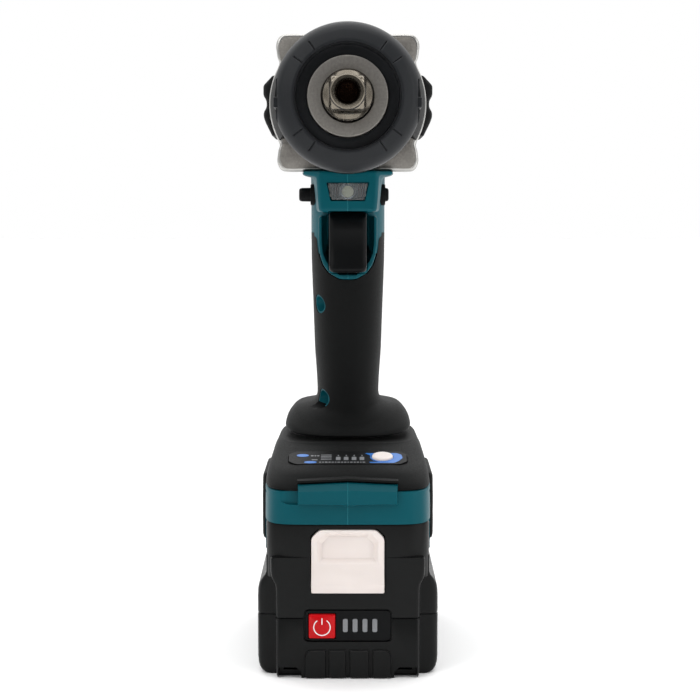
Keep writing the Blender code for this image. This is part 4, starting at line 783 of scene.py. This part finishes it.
def build_panel(size):
    obj = solid("panel_plate", on_panel(fillet(panel_outline(0.0, 2.6), 0.9, 3), -1.6, 0.1), FINISH["black"], 34)
    ring = oval(*MODE_KEY, 4.6, 4.6, 64)
    carve(obj, on_panel(ring, -4, 4), angle=34)
    ease(obj, 0.2, 2, 34)
    piece(obj, "tool", "black_nylon", "control_panel")
    # key with a slightly dished top
    rings = [[panel_point(u, v, h) for u, v in oval(*MODE_KEY, r, r, 64)] for h, r in (
        (-1.3, 4.35), (0.35, 4.35), (0.75, 4.15), (0.95, 3.7), (0.9, 3.0), (0.8, 2.0), (0.78, 0.3))]
    make("mode_key", loft(rings), "white", "mode_button", "white_nylon", "mode_button", angle=40)
    swoosh = [(7.2, 4.6), (20.4, 4.6), (22.4, 6.4), (22.8, 10.0), (21.2, 13.0), (19.2, 15.2), (9.2, 15.2), (8.8, 14.2),
              (13.0, 14.1), (10.4, 12.4), (9.2, 9.6), (9.4, 7.0), (7.8, 5.6)]
    blue = solid("panel_print_blue", on_panel(fillet(swoosh, 0.7, 3), 0.1, 0.16), FINISH["ink_blue"])
    carve(blue, on_panel(ring, -1, 1))
    piece(blue, "tool", "black_nylon")

    def strip(u, v, wide, tall):
        return on_panel([(u, v), (u + wide, v), (u + wide, v + tall), (u, v + tall)], 0.1, 0.15)

    def lamp(u):
        window = [(u - 0.95, 8.9), (u + 0.95, 8.9), (u + 0.95, 12.2), (u - 0.95, 12.2)]
        return on_panel(fillet(window, 0.3, 3), 0.05, 0.22)

    spots = [on_panel(oval(*spot, 32), 0.1, 0.17) for spot in ((-18.8, 7.2, 2.5, 1.5), (-15.5, 14.5, 2.6, 1.15))]
    marks = [strip(-15.4, 7.0, 1.1, 1.0), strip(-13.9, 7.0, 0.7, 1.0), strip(-12.8, 7.0, 0.9, 1.0),
             strip(-15.0, 11.5, 2.4, 0.8)] + [strip(-11.2, v, 4.4, 0.6) for v in (6.4, 8.0, 9.6, 11.2)]
    marks += [strip(-4.2 + 3.29 * k, 6.6, 0.5, 1.3) for k in range(4)]
    dashes, u = [], -11.9
    for k in range(15):
        wide = (0.9, 0.6, 1.1, 0.8)[k % 4]
        dashes.append(strip(u, 14.0, wide, 0.9))
        u += wide + 0.45
    for name, parts, ink in (("panel_print_ovals", spots, "ink_blue"), ("panel_print_marks", marks, "ink_grey"),
                             ("panel_lamps", [lamp(-4.0 + 3.29 * k) for k in range(4)], "ink_grey"),
                             ("panel_print_dashes", dashes, "ink_grey")):
        make(name, gather(*parts), ink, "tool", "black_nylon")


# ------------------------------------------------------------------ trigger and lever
def build_controls(size):
    side = fillet([(-29.5, 189.7), (-32.4, 187.8), (-33.7, 184.0), (-33.1, 179.0), (-33.4, 173.5), (-35.2, 168.6),
                   (-36.0, 166.0), (-34.6, 164.7), (-14.0, 164.7), (-14.0, 189.7)],
                  [1, 1.5, 3, 4, 4, 3, 1.2, 1.0, 0, 0], 5)
    rings = [(7.8, 2.4), (7.72, 1.5), (7.45, 0.85), (6.9, 0.38), (6.1, 0.12), (5.2, 0.0), (3.0, -0.05)]
    stations = [(-x, k) for x, k in rings] + [(x, k) for x, k in reversed(rings)]

    def settled(x, k, y, z):
        """The blade's side view, pulled in by k at its front, top and lower corner."""
        drop = k * 0.35 if z > 188 else 0
        lift = k * 0.9 if z < 167.5 and y < -30 else 0
        return (x, y + (k if y < -20 else 0), z - drop + lift)

    make("trigger_blade", loft([[settled(x, k, y, z) for y, z in side] for x, k in stations]), "black",
         "trigger", "black_nylon", "trigger", angle=34)
    bar = []
    for x, r in ((-20.8, 2.0), (-20.65, 2.4), (-20.2, 2.75), (-19.4, 2.9), (-16.0, 2.95), (-15.0, 3.0), (11.0, 3.0),
                 (14.4, 2.95), (16.3, 2.9), (17.1, 2.6), (17.4, 2.0)):
        turns = [TAU * i / 48 for i in range(48)]
        bar.append([(x, LEVER[0] + r * squircle(t, 1, 1, 3.2) * math.cos(t),
                     LEVER[1] + r * squircle(t, 1, 1, 3.2) * math.sin(t)) for t in turns])
    lever = solid("lever_bar", loft(bar), FINISH["black"], 34)
    carve(lever, block(-5.8, -1.8, -11.2, -1.0, 190.2, 197.0), how="UNION")
    piece(lever, "direction_lever", "black_nylon", "direction_lever")
    section = ((3.35, 12.4), (4.2, 12.4), (4.2, 15.5), (3.95, 15.9), (3.55, 15.95), (3.35, 15.7))
    collars = [loft([[(s * t, y, z) for y, z in oval(*LEVER, r * 0.96, r * 1.08, 48)] for r, t in section], closed=True)
               for s in (1, -1)]
    make("lever_collars", gather(*collars), "grip", "tool", "rubber", angle=34)


# ------------------------------------------------------------------ battery pack
def pack_outline(half, front_half, back, front=-PACK_END):
    """Plan of the pack: a front block with rounded side lobes set back behind it."""
    right = [(front_half, front), (front_half + 0.1, STEP_Y), (half, STEP_Y + 0.2), (half, back)]
    return fillet(both_sides(right), [1.8, 1.2, 6.0, 9.0, 9.0, 6.0, 1.2, 1.8], 7)


def pack_shell(name, rows, slope):
    """Skin of the pack through rows of (height, half width, block half width, back)."""
    rings = []
    for z, half, block_half, back in rows:
        front = -PACK_END + max(BLOCK_HALF - block_half, 0) * slope
        rings.append([(x, y, z) for x, y in pack_outline(half, block_half, back, front)])
    return solid(name, loft(rings), FINISH["pack"], 30)


GAUGE = fillet([(-18.0, 15.2), (18.0, 15.2), (18.0, 28.8), (-18.0, 28.8)], 2.2, 6)


def build_pack(size):
    lower = pack_shell("pack_tray", [
        (0.0, 33.2, 28.2, 54.6), (0.35, 34.4, 28.8, 55.6), (1.2, 35.6, 29.1, 56.5), (2.6, 36.5, 29.2, 57.1),
        (4.6, 37.0, 29.2, 57.4), (7.0, PACK_HALF, 29.2, 57.5), (SEAM_Z - 0.65, PACK_HALF, 29.2, 57.5),
        (SEAM_Z - 0.25, 36.95, 29.0, 57.3), (SEAM_Z - 0.15, 36.7, 28.8, 57.1)], 0.8)
    inside = fillet(both_sides([(26.4, -55.0), (26.4, STEP_Y + 3.0), (34.8, STEP_Y + 6.0), (34.8, 50.6),
                                (31.0, 54.8)]), 1.0, 2)
    gauge, key_gate = prism(GAUGE, "XZ", -60, -56.2), block(-16.2, -4.8, -60, -50, 16.5, 27.1)
    feet = [prism(fillet([(s * 19.0, -1), (s * 28.4, -1), (s * 28.4, 4.6), (s * 21.0, 4.6), (s * 19.0, 2.6)], 0.3, 2),
                  "XZ", -60, -53.0) for s in (1, -1)]
    carve(lower, prism(inside, "XY", 2.4, SEAM_Z + 2), gauge, key_gate, gather(*feet), angle=30)
    ease(lower, 0.3, 2, 30)
    piece(lower, "battery", "black_nylon", "battery_lower")
    pads = []
    for a, b, left, right in ((-17.5, -9.0, 3.2, 0.4), (-7.7, -0.8, 0.4, 0.4), (0.8, 8.6, 0.4, 0.4),
                              (10.2, 17.6, 0.4, 3.2)):
        pads.append(prism(fillet([(a, 0.5), (b, 0.5), (b, 11.8), (a, 11.8)], [0.4, 0.4, right, left], 5), "XZ",
                          -58.45, -56.8, 0.35))
    make("pack_foot_pads", gather(*pads), "pack", "battery", "black_nylon", angle=34)

    upper = pack_shell("pack_case", [
        (SEAM_Z + 0.15, 36.7, 28.8, 57.1), (SEAM_Z + 0.25, 36.95, 29.0, 57.3), (SEAM_Z + 0.7, PACK_HALF, 29.2, 57.5),
        (32.0, PACK_HALF, 29.2, 57.5), (35.2, 37.05, 29.2, 57.4), (37.4, 36.6, 29.3, 57.1), (39.0, 35.8, 29.6, 56.6),
        (40.2, 34.9, 30.2, 56.1), (41.3, 34.1, 30.8, 55.8), (42.6, 33.6, 31.2, 55.6), (44.5, 33.5, 31.4, 55.5),
        (49.4, 33.5, 31.4, 55.4), (50.0, 33.1, 31.0, 55.0)], 0.5)
    # neck with rounded front corners, and the rail that slides into the foot
    collar = fillet([(-33.45, -41.6), (-33.45, -49.6), (-31.2, -53.6), (-25.5, -56.3), (-16.0, -57.48), (16.0, -57.48),
                     (25.5, -56.3), (31.2, -53.6), (33.45, -49.6), (33.45, -41.6)],
                    [0.4, 2.5, 4, 5, 5, 5, 5, 4, 2.5, 0.4], 6)
    neck = loft([[(x * k, -49 + (y + 49) * k, z) for x, y in collar] for z, k in
                 ((41.0, 1.0), (62.9, 1.0), (63.5, 0.993), (63.7, 0.985))])
    carve(upper, neck, block(-27.9, 27.9, -42.0, 48.0, 44.0, 56.0), block(-30.9, 30.9, -42.1, 48.1, 53.4, 58.0),
          how="UNION", angle=30)
    # room for the cells and the release key, two contact slots, the gauge
    bay = fillet([(-15.3, 36.4), (15.3, 36.4), (15.3, 59.0), (12.0, 62.0), (-12.0, 62.0), (-15.3, 59.0)],
                 [0.6, 0.6, 0.8, 0.8, 0.8, 0.8], 3)
    carve(upper, prism(inside, "XY", 12.0, 36.4), block(-32.9, 32.9, -44.4, 51.0, 30.2, 40.4),
          block(-30.6, 30.6, -49.0, 52.5, 30.0, 47.6), block(-25.6, 25.6, -38.8, 45.8, 46.0, 55.4),
          prism(bay, "XZ", -62, -49.9),
          gather(*[block(s * 10.5 - 1.7, s * 10.5 + 1.7, -9, 52, 50.5, 60) for s in (1, -1)]),
          gauge, key_gate, angle=30)
    ease(upper, 0.35, 2, 30)
    piece(upper, "battery", "black_nylon", "battery_upper")


def build_release(size):
    x, z0, z1 = 14.8, 36.2, 61.6
    face = fillet([(-x, 42.0), (x, 42.0), (x, z1 - 3.4), (x - 3.4, z1), (-x + 3.4, z1), (-x, z1 - 3.4)],
                  [0.3, 0.3, 1.4, 1.4, 1.4, 1.4], 4)
    obj = solid("release_key", prism(face, "XZ", -57.9, -54.2, 0.35), FINISH["white"], 30)
    lip = fillet([(-60.9, z0), (-57.9, z0), (-57.9, 41.9), (-57.0, 42.3), (-56.4, 44.9), (-56.4, 49.0), (-57.6, 48.0),
                  (-59.6, 43.4), (-61.6, 40.7), (-62.0, 39.9), (-61.1, 36.5)],
                 [0.4, 0, 0, 0, 0, 0, 0.8, 2.0, 1.2, 0.5, 0.5], 4)
    ends = ((-x + 0.02, 0.5), (-x + 0.25, 0.15), (-x + 0.7, 0.0), (x - 0.7, 0.0), (x - 0.25, 0.15), (x - 0.02, 0.5))
    lip_rings = [[(u, y + (k if y < -58.5 else 0), z + (k * 0.4 if z < 37 else 0)) for y, z in lip] for u, k in ends]
    carve(obj, loft(lip_rings), block(-9, 9, -54.6, -50.4, 50.0, z1 - 0.6), how="UNION", angle=30)
    # thumb scoop: flared walls, flat back
    scoop = []
    for y, half, low, high in ((-64, 13.6, 45.5, 61.4), (-57.9, 12.4, 47.4, 60.2), (-57.2, 11.7, 48.3, 59.5),
                               (-56.2, 10.9, 48.9, 58.9), (-55.6, 10.5, 49.3, 58.5)):
        ring = [(-half, low), (half, low), (half, high - 3), (half - 3, high), (-half + 3, high), (-half, high - 3)]
        scoop.append([(u, y, v) for u, v in fillet(ring, 0.8, 4)])
    carve(obj, loft(scoop), angle=30)
    ease(obj, 0.3, 3, 30)
    piece(obj, "release_button", "white_nylon", "release_button")


def build_gauge(size):
    outline = fillet([(-17.4, 15.8), (17.4, 15.8), (17.4, 28.2), (-17.4, 28.2)], 1.8, 6)
    plate = solid("gauge_film", prism(outline, "XZ", -57.3, -56.0, 0.2), FINISH["black"])
    carve(plate, block(-16.2, -4.8, -60, -50, 16.5, 27.1))
    piece(plate, "battery", "black_nylon", "gauge_panel")
    key = fillet([(-15.9, 16.8), (-5.1, 16.8), (-5.1, 26.8), (-15.9, 26.8)], 0.8, 4)
    rings = [[(-10.5 + (u + 10.5) * k, y, 21.8 + (v - 21.8) * k) for u, v in key]
             for y, k in ((-54.0, 1.0), (-57.75, 1.0), (-58.15, 0.97), (-58.3, 0.93))]
    make("gauge_key", loft(rings), "red", "gauge_button", "red_nylon", "gauge_button", angle=34)
    # generic power mark: a ring open at the top with an upright bar
    arc = []
    for k in range(41):
        t = math.radians(125 + 290 * k / 40)
        arc.append([(-10.5 + r * math.cos(t), y, 21.5 + r * math.sin(t))
                    for r, y in ((3.15, -58.28), (3.55, -58.28), (3.55, -58.36), (3.15, -58.36))])
    mark = gather(loft(arc), block(-10.7, -10.3, -58.36, -58.28, 22.6, 25.3))
    make("gauge_power_mark", mark, "ink_white", "gauge_button", "red_nylon")
    bars = [prism(fillet([(x - 1.0, 19.3), (x + 1.0, 19.3), (x + 1.0, 24.8), (x - 1.0, 24.8)], 0.7, 4), "XZ",
                  -57.6, -57.2, 0.12) for x in (-1.0, 2.95, 7.0, 11.0)]
    make("gauge_bars", gather(*bars), "ink_grey", "battery", "black_nylon", angle=34)


# ------------------------------------------------------------------ stage
def build_stage(size):
    floor = solid("floor", ([(-4000, -1600, 0), (4000, -1600, 0), (4000, 9000, 0), (-4000, 9000, 0)], [(0, 1, 2, 3)]))
    # seamless paper: matt, nearly white
    mat, tree, bsdf, coords = finish_base("Pale_paper_floor", {"Roughness": 0.9, "Specular IOR Level": 0.1})
    two_tone(tree, bsdf, coords, ("#fbfbfb", "#ffffff"), 400)
    floor.data.materials.append(mat)
    scene = bpy.context.scene
    world = bpy.data.worlds.new("soft_white_room")
    scene.world = world
    world.use_nodes = True
    # white wall and ceiling behind the tool, dimmer room in front of it
    tree, back = world.node_tree, world.node_tree.nodes["Background"]
    way = add(tree, "ShaderNodeTexCoord").outputs["Generated"]
    along = add(tree, "ShaderNodeSeparateXYZ", None, {"Vector": way}).outputs
    fade = add(tree, "ShaderNodeMapRange", None, {"Value": along["Y"], "From Min": -0.25, "From Max": 0.3,
                                                  "To Min": size.room, "To Max": 1.0})
    ceiling = add(tree, "ShaderNodeMapRange", None, {"Value": along["Z"], "From Min": 0.25, "From Max": 0.6,
                                                     "To Min": 1.0, "To Max": 2.3})
    both = add(tree, "ShaderNodeMath", {"operation": "MULTIPLY"}, {0: fade.outputs[0], 1: ceiling.outputs[0]})
    # seen directly, the room is plain white from every side
    seen = add(tree, "ShaderNodeLightPath").outputs["Is Camera Ray"]
    final = add(tree, "ShaderNodeMath", {"operation": "MAXIMUM"}, {0: both.outputs[0], 1: seen})
    tree.links.new(final.outputs[0], back.inputs[1])
    back.inputs[0].default_value = (1, 1, 1, 1)
    for name, at, look, share, wide, tall in (
            ("key_left", (-0.75, -0.75, 0.75), (0, -0.03, 0.15), 1.0, 0.5, 0.7),
            ("fill_right", (0.85, -0.55, 0.45), (0, 0, 0.13), 0.8, 0.4, 0.8),
            ("top_strip", (0.0, -0.35, 1.0), (0, -0.02, 0.2), 0.8, 0.8, 0.35)):
        data = bpy.data.lights.new(name, "AREA")
        data.shape, data.size, data.size_y, data.energy = "RECTANGLE", wide, tall, size.key * share
        lamp = bpy.data.objects.new(name, data)
        lamp.location = at
        lamp.rotation_mode = "QUATERNION"
        lamp.rotation_quaternion = (Vector(look) - Vector(at)).to_track_quat("-Z", "Y")
        scene.collection.objects.link(lamp)
    cam = bpy.data.objects.new("camera", bpy.data.cameras.new("camera"))
    cam.data.sensor_width, cam.data.lens = 36.0, size.lens
    cam.data.clip_start, cam.data.clip_end = 0.01, 50
    cam.location = (0.0009, -0.677, 0.1913)
    cam.rotation_euler = (math.radians(90 - 5.22), 0, 0)
    scene.collection.objects.link(cam)
    scene.camera = cam
    scene.view_settings.view_transform = "Standard"


# ------------------------------------------------------------------ add-on parts
class WrenchSizes(bpy.types.PropertyGroup):
    """Sizes and light levels that a user may change."""
    drive: bpy.props.FloatProperty(name="Square drive", description="Across flats", unit="LENGTH", default=0.0127)
    bit: bpy.props.FloatProperty(name="Bit socket", description="Hexagon across flats", unit="LENGTH", default=0.00635)
    guard: bpy.props.FloatProperty(name="Nose guard", description="Outside diameter", unit="LENGTH", default=0.0579)
    cell: bpy.props.FloatProperty(name="Housing cell", description="Mesh cell of the moulded housing", unit="LENGTH",
                                  default=0.00055)
    lens: bpy.props.FloatProperty(name="Lens", description="Focal length in millimetres", unit="CAMERA", default=79.87)
    key: bpy.props.FloatProperty(name="Key light", description="Power of the largest light", unit="POWER", default=4.0)
    room: bpy.props.FloatProperty(name="Room light", description="Strength of the room in front of the tool",
                                  default=0.12)


def tone(name, text, code):
    """One colour setting from an sRGB hex code."""
    return bpy.props.FloatVectorProperty(name=name, description=text, subtype="COLOR", size=4, min=0, max=1,
                                         default=linear(code))


class WrenchTones(bpy.types.PropertyGroup):
    """Colours that a user may change."""
    teal_low: tone("Teal, dark", "Housing colour, dark end", "#00454e")
    teal_high: tone("Teal, light", "Housing colour, light end", "#00525d")
    guard_low: tone("Guard, dark", "Nose guard, dark end", "#15171a")
    guard_high: tone("Guard, light", "Nose guard, light end", "#1d1f22")
    button_low: tone("Release, dark", "Release key, dark end", "#dcd1cc")
    button_high: tone("Release, light", "Release key, light end", "#ece3de")


class WRENCH_OT_finishes(bpy.types.Operator):
    """Make the finishes and dress the parts carried over from the frame"""
    bl_idname = "wrench.finishes"
    bl_label = "Finishes"

    def execute(self, context):
        make_finishes(context.scene.wrench_tones)
        finish_carried()
        return {"FINISHED"}


def operator_for(key, label, text, work):
    """One operator class for a group of like pieces."""
    def execute(self, context):
        work(context.scene.wrench_sizes)
        return {"FINISHED"}
    return type("WRENCH_OT_" + key, (bpy.types.Operator,), {
        "__doc__": text, "bl_idname": "wrench." + key, "bl_label": label, "execute": execute})


STEPS = [
    operator_for("anvil", "Anvil", "Square drive with bit socket and friction ring", build_anvil),
    operator_for("case", "Hammer case", "Cast case with its eared flange", build_case),
    operator_for("bumper", "Nose guard", "Rubber ring round the nose", build_bumper),
    operator_for("housing", "Motor housing", "Teal housing, neck, lamp nose and rear cover", build_housing),
    operator_for("side_ribs", "Side ribs", "Rubber ribs on both sides of the motor", build_side_ribs),
    operator_for("lamp", "Work lamp", "Lens, reflector and diode", build_lamp),
    operator_for("grip", "Grip", "Rubber grip with its screw wells", build_grip),
    operator_for("foot", "Foot", "Teal shell, black cover and side pads", build_foot),
    operator_for("panel", "Control panel", "Panel film, prints and mode key", build_panel),
    operator_for("controls", "Trigger and lever", "Trigger blade and direction lever", build_controls),
    operator_for("pack", "Battery pack", "Pack tray and case", build_pack),
    operator_for("release", "Release key", "White pack release", build_release),
    operator_for("gauge", "Charge gauge", "Gauge film, key and bars", build_gauge),
    operator_for("stage", "Stage", "Floor, lights and camera", build_stage),
]


class WRENCH_PT_panel(bpy.types.Panel):
    """Lists the pieces in the sidebar"""
    bl_idname = "WRENCH_PT_panel"
    bl_label = "Cordless impact wrench"
    bl_space_type = "VIEW_3D"
    bl_region_type = "UI"
    bl_category = "Wrench"

    def draw(self, context):
        for key in WrenchSizes.__annotations__:
            self.layout.prop(context.scene.wrench_sizes, key)
        for key in WrenchTones.__annotations__:
            self.layout.prop(context.scene.wrench_tones, key)
        for step in [WRENCH_OT_finishes] + STEPS:
            self.layout.operator(step.bl_idname)


CLASSES = [WrenchSizes, WrenchTones, WRENCH_OT_finishes] + STEPS + [WRENCH_PT_panel]


def register():
    for cls in CLASSES:
        bpy.utils.register_class(cls)
    bpy.types.Scene.wrench_sizes = bpy.props.PointerProperty(type=WrenchSizes)
    bpy.types.Scene.wrench_tones = bpy.props.PointerProperty(type=WrenchTones)


def unregister():
    del bpy.types.Scene.wrench_sizes
    del bpy.types.Scene.wrench_tones
    for cls in reversed(CLASSES):
        bpy.utils.unregister_class(cls)


def main():
    register()
    for step in [WRENCH_OT_finishes] + STEPS:
        getattr(bpy.ops.wrench, step.bl_idname.split(".")[1])()
    bpy.context.view_layer.update()


if __name__ == "__main__":
    main()
